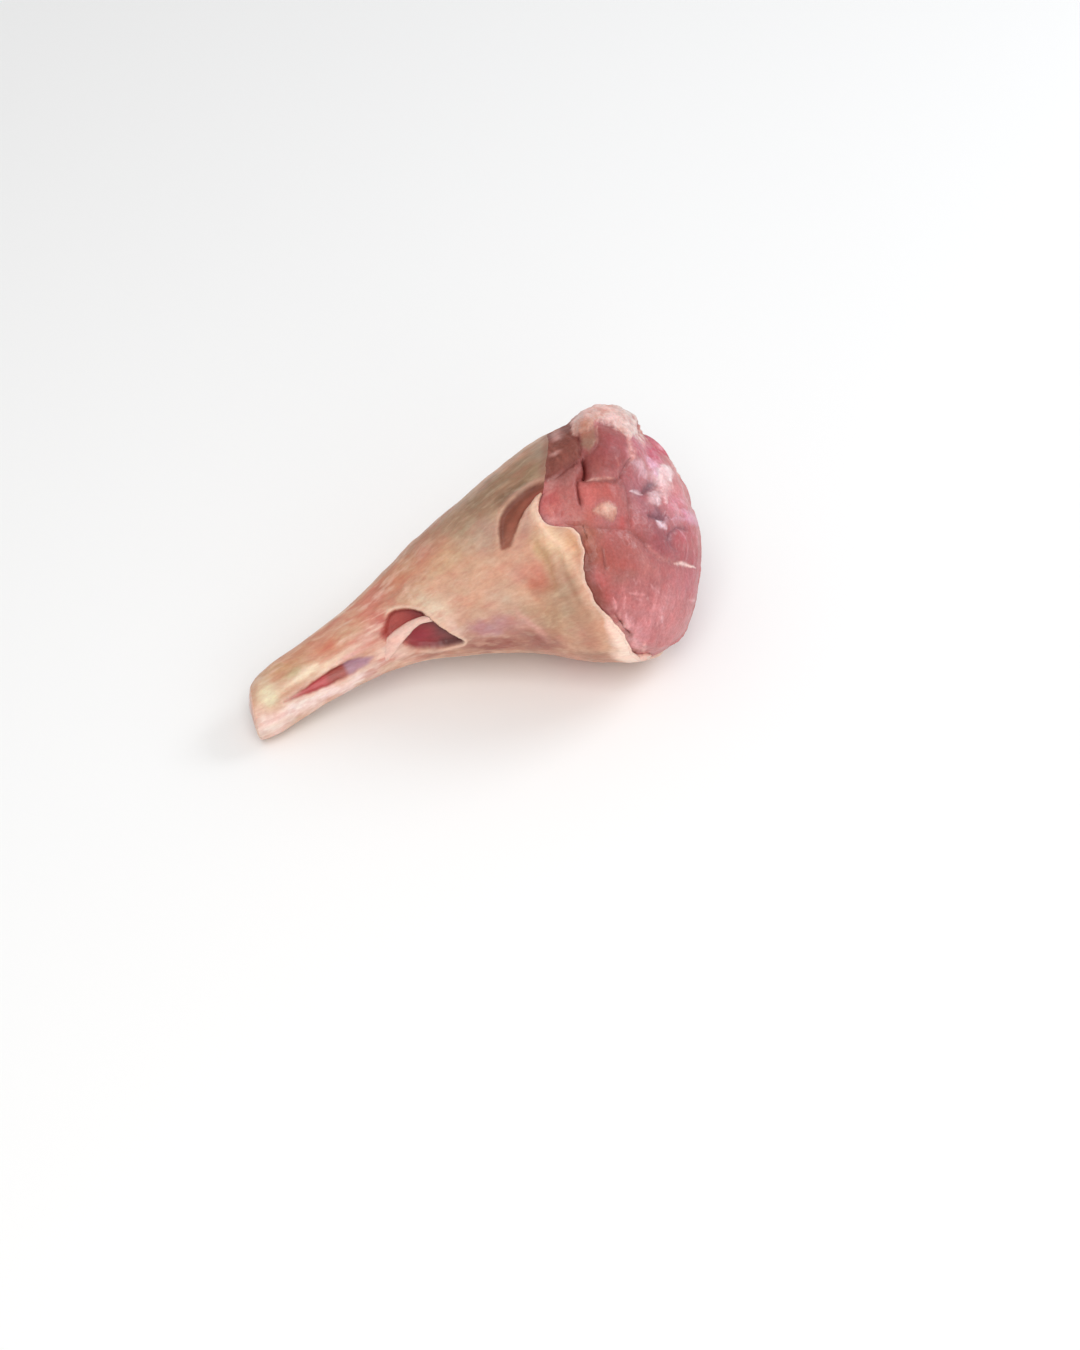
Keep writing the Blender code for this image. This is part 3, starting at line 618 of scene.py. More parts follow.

# Seams between the muscles as seen: line, depth, width, colour, how dark. Their darkness is
# partly the seams' own colour and partly painted shade in the furrows.
SEAMS = [
    ([(144.8, 31.2), (148, 30.6), (152, 30.7), (156, 31.6), (159.5, 32.2), (162.5, 32.2)],
     2.0, 1.2, MEAT_DARK, 0.8),
    ([(164.2, 32.6), (163.7, 30.4), (162.6, 27.8), (161.1, 25.2), (160.4, 24.0)], 3.4, 0.6, DEEP_SLIT_SHADE, 1.0),
    ([(160.4, 24.2), (158.2, 24.9), (156.6, 23.4), (155.5, 20.5), (154.5, 17.5), (153.4, 14.4)],
     1.9, 0.8, 0x70241e, 0.6),
    ([(160, 23.6), (164, 21.6), (168, 19.3), (171.5, 17.5), (174, 17.8)], 1.5, 0.9, MEAT_DARK, 0.45),
    ([(174, 17.8), (176.5, 19.5), (179.5, 21.4), (182, 23)], 1.3, 0.9, MEAT_DARK, 0.35),
    ([(182, 23), (184, 28), (184.5, 32), (183.5, 36), (180.5, 39.2), (176.5, 41.6)],
     1.4, 1.2, MEAT_DARK, 0.3),
    ([(163.6, 33.6), (165.6, 37), (166, 41), (165.3, 45)], 1.8, 1.1, MEAT_DARK, 0.6),
    ([(163.8, 33.4), (167, 32.6), (171, 33.8), (173, 37), (174.5, 41)], 1.0, 1.0, MEAT_DARK, 0.3),
    ([(141.5, 13.2), (146, 9.8), (150, 7.2), (154.5, 4.8), (159, 2.0), (163.5, -0.6), (167.5, -3.6)],
     1.1, 1.3, MEAT_DARK, 0.2),
    ([(167.5, -3.6), (170.2, -8), (171, -13), (173, -18.5), (177.5, -23.6), (184.5, -28.6)],
     1.4, 1.2, MEAT_DARK, 0.3),
    ([(174, 17.8), (174.6, 13), (172.5, 7.5), (170, 2), (167.5, -3.6)], 1.0, 1.1, MEAT_DARK, 0.3),
    ([(180.2, -13.6), (182.4, -11.6), (186, -11.4), (189, -13.8)], 1.2, 0.9, PLUM, 0.45),
    ([(180.6, -13), (179.8, -16.4), (181.4, -20.4)], 0.8, 1.0, PLUM, 0.25),
    ([(146.2, -34.4), (147, -36.4)], 1.2, 1.1, 0x70443e, 0.5),
    ([(147.2, -39.6), (147.2, -43)], 1.3, 1.2, 0x70443e, 0.5),
    ([(153.8, -4), (152.4, -9), (150.6, -14)], 0.6, 0.7, MEAT_DARK, 0.4),
    ([(176, 10), (180, 8.6), (183.6, 9.6), (186, 7.6)], 1.4, 1.2, PLUM, 0.5),
    ([(176.5, -1), (179.5, -3), (182.6, -5.6)], 1.4, 1.3, PLUM, 0.6),
]

# Patches on the cut as seen: place, height, half length, half width, colour, share, tilt if any.
# The near-white ones on the right, at places 182 to 190, are partly painted highlights.
MEAT_PATCHES = [
    (166, -24, 26, 26, 0xb66c6c, 0.8), (163, -43, 16, 10, MEAT_LIGHT, 0.85, -20),
    (152, -42.4, 6, 4.4, 0xd4868a, 0.8, 10), (164, -40, 7, 5, 0xcc8082, 0.75, -20),
    (170, -33, 6, 7, 0xb86a6c, 0.6), (181, -33, 8, 8, 0xc06874, 0.6),
    (150, -4, 4.6, 12, 0xae624c, 0.9, 12), (157, -10, 9, 11, 0xac544c, 0.75),
    (147, -21, 4, 7, 0xba5450, 0.7), (156, -19.5, 6, 3, 0xa0665c, 0.6),
    (167, -17, 3.4, 7, 0xc6847e, 0.55), (171, -12, 4, 6, 0xb46666, 0.5),
    (177, -12, 6, 9, 0x9c4e56, 0.85), (163, -8, 6, 6, 0xa85c56, 0.6),
    (186, -15, 4, 5, 0xbe5862, 0.85), (183, -24, 6, 4.5, 0xb0545c, 0.75, -30),
    (152, 27, 7, 4, 0xa8706a, 0.9), (157, 29, 5, 3, 0xa26a64, 0.7),
    (144, 22, 7, 4, 0xbe5a58, 0.9, 70), (142.4, 18.4, 2, 2, 0xd8827a, 0.8),
    (150, 19, 4, 6, 0xb66a62, 0.8), (147, 13, 6, 3.4, 0xbc645c, 0.75, -20),
    (151.6, 2.6, 5, 3, 0x9e5646, 0.7, -30), (150.4, 4.6, 4, 4, 0xae664e, 0.7),
    (165.6, 13.4, 3, 2.6, 0xa85c56, 0.7), (149.4, -39, 2.4, 5, 0xe29ea2, 0.8),
    (147.4, -44.6, 1.8, 3.4, 0xeeb0b2, 0.8), (163, 17, 9, 5, 0xc2625a, 0.9, -25),
    (157.6, 17.5, 2.6, 5, 0xd0706a, 0.9, 10), (169, 8, 4, 7, 0xb4625e, 0.8),
    (155, 9, 4, 4, 0xba6256, 0.7), (166.8, 0, 3.6, 3, 0xc65452, 0.9),
    (172, 28, 12, 8, 0x92403e, 0.97, -25), (178, 31, 5, 7, 0xa24e52, 0.85),
    (166, 26, 5, 4, 0x9e544e, 0.75), (174, 38, 5, 3, 0xa05250, 0.7), (178, 12, 5, 9, 0xb2646c, 0.85),
    (176, 3, 4, 6, 0xac6870, 0.75), (183, 9.5, 2.5, 2, 0x8a5e6a, 0.85),
    (181.4, -3, 2.6, 3.4, 0x8c5a66, 0.85), (190.5, 22, 3.6, 7, CRIMSON, 0.95),
    (186, 27, 3.6, 5, 0xc66c7e, 0.8), (190.6, 2, 3, 8, 0xd88a90, 0.75),
    (187.6, 9.2, 2.6, 4.4, 0xf2d6d4, 0.95, 10), (182.4, 18, 2.0, 5, 0xdeb2ba, 0.7),
    (189.6, 12.4, 3.0, 2.6, 0xeed6d8, 0.8), (187.6, -3, 3, 4, 0xd68292, 0.75),
]

# Pale strokes on the cut as seen: line, half width, colour, share, height. The lilac, pearl and
# pale pink ones on the right are partly fascia and partly painted highlights.
STROKES = [
    ([(184.8, 32), (184.2, 28.5), (182.8, 24.5), (181.6, 21.4)], 1.3, 0xe8a6a0, 0.9, 0.6),
    ([(181.8, 21), (182.6, 17.5), (183, 13)], 1.5, 0xd8acb6, 0.8, 0.5),
    ([(186.8, 20.5), (187.6, 16), (187, 12)], 1.7, LILAC_FASCIA_HIGHLIGHT, 0.75, 0.4),
    ([(190.8, 14.6), (191.8, 11), (190.8, 7.6)], 1.6, PEARL_FASCIA_HIGHLIGHT, 0.9, 0.6),
    ([(190.4, 13.5), (188.4, 8.5), (186.6, 4), (185.4, -0.6)], 1.2, 0xecbec2, 0.85, 0.6),
    ([(181.6, 7), (182.6, 4), (182.8, 1)], 2.3, 0xe2c0c6, 0.9, 0.8),
    ([(179.4, -4.6), (180.2, -7), (181.4, -9.4)], 1.2, 0xe8d0da, 0.9, 0.5),
    ([(189.4, -5.6), (190.8, -9), (192.2, -13.6)], 1.6, 0xdaa0b8, 0.8, 0.4),
    ([(184.6, -6.8), (187.4, -8), (189.6, -10)], 1.0, 0xd6a2b6, 0.65, 0.3),
    ([(175.4, 10.8), (177.6, 9.6), (179.4, 8)], 0.7, 0xeeced4, 0.8, 0.3),
    ([(186.8, -1), (187.8, -4.5), (187.2, -7.5)], 0.9, 0xe4a2ac, 0.7, 0.3),
    ([(171, -11), (172.4, -16.4), (175, -20.6), (178.4, -24.2)], 1.2, 0xc88280, 0.7, 0.5),
    ([(177.6, -24.2), (181, -25.9), (183.8, -28.8)], 0.75, 0xfcd8d2, 1.0, 0.8),
    ([(160.6, 24), (165.4, 21.6), (171.6, 18.8)], 0.7, 0xce9488, 0.75, 0.4),
    ([(173.6, 19.4), (175.2, 22.4), (175.4, 27)], 0.5, 0xc67a72, 0.4, 0.1),
    ([(168, 38), (171.8, 36), (174.6, 41.5)], 0.7, 0xce9688, 0.5, 0.3),
    ([(148.6, -25), (147.4, -29.6)], 0.6, 0xe89ea0, 0.8, 0.3),
    ([(153, -26.6), (150.4, -31)], 0.5, 0xe29c9e, 0.6, 0.2),
    ([(155, -26.2), (158, -28.2), (160.6, -29.6)], 0.55, 0xe6a0a2, 0.8, 0.3),
    ([(156.4, -29.8), (158.8, -31.4)], 0.5, 0xe6a0a2, 0.7, 0.2),
    ([(149.6, -34), (148.6, -38)], 0.6, 0xe2a4a8, 0.5, 0.2),
    ([(162.8, -40.2), (162, -43.2)], 0.6, 0xeab0b4, 0.8, 0.3),
    ([(176, -39.8), (178, -41)], 0.6, 0xeab0b4, 0.6, 0.2),
    ([(164.6, -26.6), (165.8, -29.8)], 0.5, 0xde9a9c, 0.6, 0.2),
    ([(151.4, -46.4), (149.4, -50.6)], 1.0, 0xeeb2ac, 0.8, 0.4),
]
FAT_SPOT = [
    (157.2, 10.8), (160.6, 11.8), (164.4, 11.0), (166.4, 8.4), (165.2, 5.4), (163.0, 3.2),
    (160.6, 4.6), (158.8, 7.6),
]
TAN_STRIP = [
    (166.4, 43.6), (172.0, 43.8), (173.6, 40.0), (171.2, 35.0), (167.6, 33.0), (165.8, 36.6),
]
UPPER_MUSCLE = [
    (140, 31), (148, 31), (156, 32), (163.6, 33), (166, 38), (166.2, 42), (164.5, 52), (140, 52),
]
LUMP = [
    (164.6, 43.4), (170.0, 41.0), (174.6, 42.8), (177.6, 41.2), (180.6, 38.8), (183.2, 35.2),
    (184.4, 31.4), (186.6, 30.4), (190.5, 34.0), (193.0, 44.0), (184.0, 55.0), (168.0, 55.0),
]

# Dents and bulges of the cut's outline as seen: middle, half sizes, height.
DENTS = [((193.4, 31), (5.5, 7), -3.6), ((180, 50), (7, 4), -1.4), ((194, -2), (6, 9), 1.5)]

# Muscle colours on the hidden half of the cut, in the order of the bundles.
BACK_TONES = np.array([
    rgb(tone) for tone in (
        0xba6a6a, 0xbe645c, 0xa85a56, 0xb66870, 0xb05c5c, 0xc06c70, 0xaa5e58,
    )
])

# Tendon strand over the window as seen: place, height, half width, depth below the fell.
STRAND = [
    (51.0, -4.4, 2.4, 3.7), (54.0, -2.8, 3.0, 2.8), (58.0, -0.8, 3.3, 1.9), (62.0, 0.8, 3.0, 1.8),
    (66.0, 1.9, 2.5, 2.3), (70.0, 2.8, 2.0, 2.5), (74.0, 2.9, 1.5, 2.4), (78.0, 1.8, 1.3, 2.6),
    (82.0, 0.2, 1.1, 3.6),
]

# Curl of fell at the lower end of its edge as seen: place, height, half width, depth below the body.
CURL = [
    (143.6, -47.6, 0.7, 2.0), (145.6, -50.2, 1.2, 1.0), (148.0, -51.6, 1.4, 0.8),
    (150.4, -52.0, 1.1, 1.2), (152.6, -52.8, 0.6, 2.2),
]


# Fell: the fatty skin from the hock to the edge of the cut


def window_tone(place, height, points):
    """Colour of the red meat on the floor of the window."""
    tone = paint(DEEP_RED, smooth_step(place, 72, 80), MAROON)
    tone = paint(tone, oval(place, height, (70.6, -4.4), (8, 4.5), tilt=-30), WINE)
    reach = 7 * smooth_step(height, 0, 5)
    tone = paint(tone, 1 - smooth_step(place - reach, 58, 67), WINDOW_LEFT)
    return paint(tone, 0.8 * oval(place, height, (62.5, -3.5), (3.4, 2.4)), WINDOW_LIT)


def slit_tone(place, height, points):
    """Colour of the slit's floor: red, then dull, then purple towards the window."""
    tone = paint(SLIT_RED, smooth_step(place, 27, 32), SLIT_DULL)
    tone = paint(tone, smooth_step(place, 36.5, 39), SLIT_PURPLE)
    return paint(tone, 1 - smooth_step(place, 12, 21), SLIT_PALE)


def crescent_tone(place, height, points):
    """Colour of the crescent's floor: dull red, with painted shade along its outer wall."""
    patchy = rough_noise(points, 4, seed=17)
    tone = paint(DULL_RED, 0.5 + 0.6 * patchy, CRESCENT_BROWN)
    tone = paint(tone, smooth_step(place, 132, 141), CRESCENT_END)
    tone = paint(tone, 0.5 * (1 - smooth_step(height, 15, 24)), CRESCENT_PALE)
    inner = depth_inside(place, height, CRESCENT_OUTER_WALL)[0]
    # Painted shade: darker along the crescent's outer wall.
    return paint(tone, 0.8 * smooth_step(-inner, -0.6, 1.2), CRESCENT_WALL_SHADE)


# The openings: outline, depth, colour and wetness of the floor, rim colour, how much the rim shows.
OPENINGS = [
    (WINDOW, 3.4, window_tone, 0.6, WINDOW_RIM, 0.85),
    (SLIT, 0.8, slit_tone, 0.7, SLIT_RIM, 0.5),
    (CRESCENT, 1.7, crescent_tone, 0.15, CRESCENT_RIM, 0.5),
]


def lip_width(height):
    """Width of the pale lip along the edge of the fell."""
    return sum((more * (1 - smooth_step(height, low, high)) for low, high, more in LIP_WIDER), LIP_WIDTH)


def lip_paleness(height, shown):
    """How pale the lip is: cream low down, and hardly at all beside the upper muscle."""
    low = 1 - smooth_step(height, -34, -26)
    middle = 0.45 * (1 - smooth_step(height, 14, 24))
    return np.maximum(low, middle) * shown + 0.4 * (1 - shown)


def flap_share(points, shown, start, full):
    """Where the flap lies, which is stretched over the swelling meat."""
    return smooth_step(points[..., 0], start, full) * shown * (1 - smooth_step(points[..., 2], 22, 32))


def fell_folds(points, shown):
    """Fine relief of the fell: lengthwise fibres near the hock, and cross folds on the flap."""
    warp = noise(points, 13, seed=5)[..., None]
    lengthwise = rough_noise(stretched(points, along=0.28) + 2.0 * warp, 3.4, seed=9)
    crosswise = rough_noise(leaning(points, lean=0.45, side=0.25, up=0.22) + 1.6 * warp, 3.6, seed=13)
    flap = flap_share(points, shown, start=92, full=108)
    return lengthwise * (1 - 0.7 * flap) + crosswise * 0.7 * flap


def skin_openings(points, shown, depth, colour, wet, fat):
    """Sinks the openings: ragged walls, an edge that catches the light, and meat on the floor."""
    seen_place, seen_height = as_seen(points)
    ragged = WALLS_RAGGED * rough_noise(points, 2.4, seed=51)
    streaks = rough_noise(stretched(points, along=0.3), 1.6, seed=27)
    covered = np.zeros(depth.shape)
    for outline, deep, floor_tone, floor_wet, rim_tone, rim_share in OPENINGS:
        inside, wall = depth_inside(seen_place, seen_height, smooth_line(outline, closed=True))
        inside = inside + ragged
        sharp = 1 - smooth_step(wall, 1.0, 3.0)
        sunk = smooth_step(inside, -0.1, wall) * shown
        over = smooth_step(inside, -0.35, 0.35 + 0.6 * (wall - 0.7)) * shown
        rim = bump(inside, -0.7, 0.75) * shown * sharp
        depth = depth * (1 - 0.6 * sunk) + deep * sunk - RIMS_HIGH * rim
        tone = floor_tone(seen_place, seen_height, points) * (1 + FLOOR_STREAKS * streaks)[..., None]
        shade = 1 - WALL_SHADE * sharp * bump(inside, 0.5, 0.9)
        colour = paint(colour, rim_share * rim, rim_tone)
        colour = paint(colour, over, tone * shade[..., None])
        wet = wet * (1 - over) + floor_wet * over
        fat = fat * (1 - over)
        covered = np.maximum(covered, over)
    return depth, colour, wet, fat, covered


def flap_bands(points):
    """Broad soft bands across the flap, where it is stretched."""
    warp = noise(points, 16, seed=63)[..., None]
    return rough_noise(leaning(points, lean=0.25, side=0.2, up=0.16) + 2.4 * warp, 7, seed=67)


def fat_islands(points):
    """Where the hidden side has a cover of fat on the fell."""
    wide = rough_noise(stretched(points, along=0.5), 19, seed=61)
    return smooth_step(wide, 0.10, 0.22) * smooth_step(points[..., 0], 40, 70)


def draw_folds(points, shown, depth, colour):
    """The folds of the flap: soft ridges painted paler and furrows painted darker, partly as painted
    highlight and painted shade.
    """
    line = warped(points, *as_seen(points), sizes=(8, 3), reaches=(0.8, 0.4), seed=57)
    for gap, along, width, high, tone, share in near_lines(*line, FOLDS):
        taper = 0.25 + 0.75 * np.sin(np.pi * np.clip(along, 0.03, 0.97))
        mark = bump(gap, 0, width) * shown * taper
        depth = depth - high * mark
        # Ridges painted paler and furrows darker: partly painted highlight and painted shade.
        colour = paint(colour, share * mark, tone)
    return depth, colour


def ragged_edge(edge, angle, knee):
    """The fell's edge, torn a little, and more so behind."""
    points = body_points(edge, angle)
    behind = 1 - smooth_step(np.cos(angle), *FELL_TURN)
    torn = EDGE_RAGGED * rough_noise(points, 5, seed=301)
    torn = torn + behind * EDGE_WAVES * rough_noise(points, (40, 15, 15), seed=303)
    return np.minimum(edge + torn, knee - FELL_RIM_GAP)


def fell_colour(points, shown, place, lumps, mottle, folds, streaks):
    """Colour of the fell: mottled, with patches as seen on the shown side, some of which are painted
    shade and painted highlights.
    """
    behind = 1 - shown
    hue = rough_noise(stretched(points, along=0.7), 13, seed=71)
    bands = flap_bands(points)
    flap = flap_share(points, shown, start=84, full=106)
    colour = paint_layers(paint(FELL, 0.4 + 0.9 * lumps, FELL_ORANGE), [
        (rough_noise(points, 20, seed=41), 0.0, 0.6, 0.7, FELL_PINK),
        (rough_noise(points, 30, seed=45), -0.1, 0.4, behind * 0.5, FELL_TAN),
        (rough_noise(stretched(points, along=0.6), 18, seed=47), 0.10, 0.42, behind * 0.65, BACK_BLUSH),
    ])
    colour = paint(colour, behind * 0.8 * fat_islands(points), ISLAND_FAT)
    colour = paint(colour, behind * 0.6 * (1 - smooth_step(place, 34, 62)), FELL_CREAM)
    colour = paint_layers(colour, [
        (hue, 0.0, 0.5, 0.35, HUE_ORANGE),
        (-hue, 0.0, 0.5, 0.30, HUE_TAN),
        (bands, 0.05, 0.5, 0.40 * flap, BAND_PALE),
        (-bands, 0.05, 0.5, 0.40 * flap, BAND_DARK),
    ])
    drawn = warped(points, *as_seen(points), sizes=(7, 2.6), reaches=(1.8, 0.8), seed=35)
    # The patches include painted shade along the top and bottom edges and a painted highlight by the
    # lip.
    colour = paint_patches(colour, *drawn, FELL_PATCHES, shown * (1.15 + 0.5 * folds + 0.3 * mottle))
    neck = bump(points[..., 0], 54, 26)
    narrow = 1 - 0.8 * smooth_step(points[..., 0], 60, 95)
    warp = noise(points, 22, seed=49)[..., None]
    threads = rough_noise(stretched(points, along=0.07) + 1.2 * warp, 1.8, seed=53)
    colour = paint_layers(colour, [
        (-streaks, 0.05, 0.45, 0.42 * neck, NECK_RED),
        (streaks, 0.05, 0.45, 0.36 * neck, NECK_PALE),
        (streaks, 0.10, 0.50, 0.16, FELL_CREAM),
        (-streaks, 0.12, 0.55, 0.18, SALMON),
        (folds, 0.15, 0.6, 0.16, FELL_CREAM),
        (threads, 0.30, 0.55, 0.26 * narrow, THREAD_PALE),
    ])
    return colour * (1 + 0.05 * mottle + 0.07 * folds + 0.04 * streaks)[..., None]


def fell_depth(points, shown, place, lumps, folds, streaks):
    """Depth of the fell below the body: its relief, waves behind, and bands on the flap."""
    depth = FELL_SINK - LUMPS_HIGH * lumps - FOLDS_HIGH * folds - STREAKS_HIGH * streaks
    depth = depth - ISLANDS_HIGH * (1 - shown) * fat_islands(points)
    waves = rough_noise(points, (50, 26, 26), seed=69)
    depth = depth - HIDDEN_WAVES_HIGH * (1 - shown) * smooth_step(place, 30, 70) * waves
    depth = depth - FLAP_WAVES_HIGH * shown * smooth_step(place, 84, 106) * flap_bands(points)
    return depth + WAIST_SINK * bump(place, WAIST_PLACE, WAIST_LENGTH)


def skin_lip(seen_height, to_edge, shown, mottle, folds, depth, colour, covered):
    """Swells and pales the fell along the cut. Returns also how pale it is."""
    width = lip_width(seen_height) * (1 + 0.35 * mottle)
    lip = (1 - smooth_step(to_edge, 0.3 * width, width)) * (1 - covered)
    pale = lip * lip_paleness(seen_height, shown)
    low = (1 - smooth_step(seen_height, -46, -24)) * shown
    # Low down the lip is painted a brighter cream: its fat, lightened with painted light where it faces
    # down.
    tone = paint(FAT_PINK, low, LIP_CREAM_PAINTED_LIGHT)
    colour = paint(colour, pale, tone * (1 + 0.10 * folds[..., None]))
    depth = depth - (0.2 + 0.9 * low) * lip * (1 - smooth_step(seen_height, 22, 30) * shown)
    depth = depth + 0.5 * lip * low * folds
    fading = (1 - smooth_step(to_edge + 1.5 * mottle, 0.5, 4.5)) * smooth_step(seen_height, 30, 35)
    return depth, paint(colour, 0.7 * (fading * shown), LIP_FADED), pale


def skin_shape(place, angle, to_edge, shown):
    """Depth of each skin point below the body, its colour, its finish, and where it is torn open."""
    points = body_points(place, angle)
    lumps = rough_noise(points, 16, seed=3)
    mottle = rough_noise(points, 5, seed=31)
    folds = fell_folds(points, shown)
    warp = noise(points, 9, seed=15)[..., None]
    streaks = rough_noise(stretched(points, along=0.2) + 1.5 * warp, 2.0, seed=21)
    depth = fell_depth(points, shown, place, lumps, folds, streaks)
    colour = fell_colour(points, shown, place, lumps, mottle, folds, streaks)
    depth, colour = draw_folds(points, shown, depth, colour)
    wet, fat = 0.35 + 0.25 * lumps, np.full(place.shape, 0.55)
    depth, colour, wet, fat, covered = skin_openings(points, shown, depth, colour, wet, fat)
    seen_height = as_seen(points)[1]
    depth, colour, pale = skin_lip(seen_height, to_edge, shown, mottle, folds, depth, colour, covered)
    return depth, colour, finish_of(points, wet, np.maximum(fat, pale)), covered


def angles_around(count):
    """Angles round the body, closer together on the shown side."""
    fine = np.linspace(-math.pi, math.pi, TURN_SAMPLES)
    side, height = cross_section(np.full(fine.shape, SPACED_AT), fine)
    gap = np.hypot(np.diff(side), np.diff(height))
    middle = (fine[1:] + fine[:-1]) / 2
    gap = gap * (1 + CLOSER * smooth_step(np.cos(middle), *CLOSE_TURN))
    travelled = np.concatenate([[0], np.cumsum(gap)])
    wanted = np.linspace(0, travelled[-1], count, endpoint=False)
    return np.interp(wanted, travelled, fine)


def lie_matrix():
    """From the shank's own frame to the part's frame, both in millimetres."""
    turn = Matrix.Rotation(-LIE_PITCH, 4, "Y") @ Matrix.Rotation(-LIE_ROLL, 4, "X")
    return np.array(Matrix.Translation(START) @ turn)


def laid_down(points):
    """Points in the part's frame, in metres, pressed flat on the floor."""
    lie = lie_matrix()
    laid = points @ lie[:3, :3].T + lie[:3, 3]
    laid[..., 2] = np.maximum(laid[..., 2], 0.0)
    return laid * MM


def added(name, data):
    """A new object in the scene."""
    made = bpy.data.objects.new(name, data)
    bpy.context.scene.collection.objects.link(made)
    return made


def surface_piece(name, points, faces, colours, finish, grain_along=1.0):
    """A smooth mesh piece with its painted attributes."""
    mesh = bpy.data.meshes.new(name)
    mesh.from_pydata(laid_down(points).tolist(), [], faces)
    mesh.update()
    mesh.shade_smooth()
    piece = added(name, mesh)
    layer = mesh.attributes.new("grain", "FLOAT_VECTOR", "POINT")
    layer.data.foreach_set("vector", stretched(points, grain_along).astype(np.float32).ravel())
    for label, values in (("tint", colours), ("finish", finish)):
        filled = np.column_stack([values, np.ones(len(values))]).astype(np.float32)
        layer = mesh.color_attributes.new(label, "FLOAT_COLOR", "POINT")
        layer.data.foreach_set("color", filled.ravel())
    return piece


def grid_faces(rows, count, first=0):
    """Faces between loops of equal length, all round."""
    faces = []
    for row in range(rows - 1):
        near = first + row * count
        far = near + count
        for i in range(count):
            after = (i + 1) % count
            faces.append((near + i, near + after, far + after, far + i))
    return faces


def fan_faces(loop, count, tip, flip):
    """Triangles from a loop to a point."""
    pairs = [(loop + i, loop + (i + 1) % count) for i in range(count)]
    return [(b, a, tip) if flip else (a, b, tip) for a, b in pairs]


def tube_faces(rings, sides):
    """Faces of a closed tube whose loops come first, and then the tips of its first and last ends."""
    faces = grid_faces(rings, sides) + fan_faces(0, sides, rings * sides, flip=True)
    return faces + fan_faces((rings - 1) * sides, sides, rings * sides + 1, flip=False)


def hock_end(rim):
    """Points of the hock end, the middle one first and then its loops from there outwards."""
    middle = rim[:, 1:].mean(axis=0)
    tip = end_place(middle[0], middle[1], 0.0, hock_plane, -HOCK_DOME, no_relief)
    rows = [np.array([[tip, *middle]])]
    for ring in range(HOCK_RINGS - 1, 0, -1):
        share = math.cos(ring / HOCK_RINGS * math.pi / 2)
        side, height = (middle + (rim[:, 1:] - middle) * share).T
        place = end_place(side, height, share, hock_plane, -HOCK_DOME, no_relief)
        rows.append(np.column_stack([place, side, height]))
    points = np.concatenate(rows)
    points[:, 0] += HOCK_END_ROUGH * rough_noise(points, 3, seed=65)
    return points


def hock_end_paint(points):
    """Colour and finish of the hock end: fat round the bone, and the cut tendon below it."""
    speckle = rough_noise(points, 2.2, seed=61)
    colour = paint(HOCK_FAT, 0.5 + 0.6 * speckle, HOCK_PINK)
    _, bone_height, bone_side, half_height, _ = BONE[0]
    around_bone = off_axis(points, bone_side, bone_height) - half_height
    colour = paint(colour, 0.7 * bump(around_bone, 0.9, 0.9), HOCK_RING)
    away = off_axis(points, bone_side, bone_height - TENDON_BELOW)
    colour = paint(colour, bump(away, 0, TENDON_RADIUS), HOCK_TENDON)
    return colour, finish_of(points, wet=0.5, fat=0.8)


def build_skin():
    """The fell with its openings. Returns the piece, and what the cut takes over at its edge."""
    angle = angles_around(SKIN_AROUND)
    hock = solve_place(hock_plane, angle, HOCK_CUT)
    knee = solve_place(knee_plane, angle, KNEE_CUT)
    edge = ragged_edge(fell_edge(angle, knee), angle, knee)
    place = hock + (edge - hock) * np.linspace(0, 1, SKIN_ALONG)[:, None]
    around = np.broadcast_to(angle, place.shape)
    shown = smooth_step(np.cos(around), *SKIN_TURN)
    depth, colour, finish, covered = skin_shape(place, around, edge - place, shown)
    points = body_points(place, around, depth)
    end_points = hock_end(points[0])
    end_colour, end_finish = hock_end_paint(end_points)
    flat = np.concatenate([end_points, points.reshape(-1, 3)])
    colours = np.concatenate([end_colour, colour.reshape(-1, 3)])
    finishes = np.concatenate([end_finish, finish.reshape(-1, 3)])
    count = len(angle)
    faces = fan_faces(1, count, 0, flip=True) + grid_faces(HOCK_RINGS - 1 + SKIN_ALONG, count, 1)
    piece = surface_piece("fell_skin", flat, faces, colours, finishes, grain_along=0.35)
    last = {"points": points[-1], "depth": depth[-1], "colour": colour[-1], "open": covered[-1]}
    return piece, angle, edge, knee, last


# Cut: the lip of the fell, the bare muscle beside it, and the knee-end face


def outward_directions(points):
    """Outward directions of a grid of points that is closed round its second axis."""
    around = np.roll(points, -1, axis=1) - np.roll(points, 1, axis=1)
    along = np.gradient(points, axis=0)
    normal = np.cross(along, around)
    return normal / np.maximum(np.linalg.norm(normal, axis=-1, keepdims=True), 1e-9)


def dome_slope(which, side, height):
    """Slope of the dome of each point's given muscle bundle."""
    at, up, radius, peak = np.array(MUSCLES, float).T
    steep = -peak[which] / radius[which] ** 2
    return np.stack([steep * (side - at[which]), steep * (height - up[which])])


def back_seams(points):
    """Which muscle bundle each point of the cut belongs to, and how far it is from the next."""
    side, height = points[..., 1], points[..., 2]
    domes = muscle_domes(side, height)
    order = np.argsort(domes, axis=0)
    lead = np.sort(domes, axis=0)
    steep = dome_slope(order[-1], side, height) - dome_slope(order[-2], side, height)
    return order[-1], (lead[-1] - lead[-2]) / np.maximum(np.linalg.norm(steep, axis=0), 1e-3)


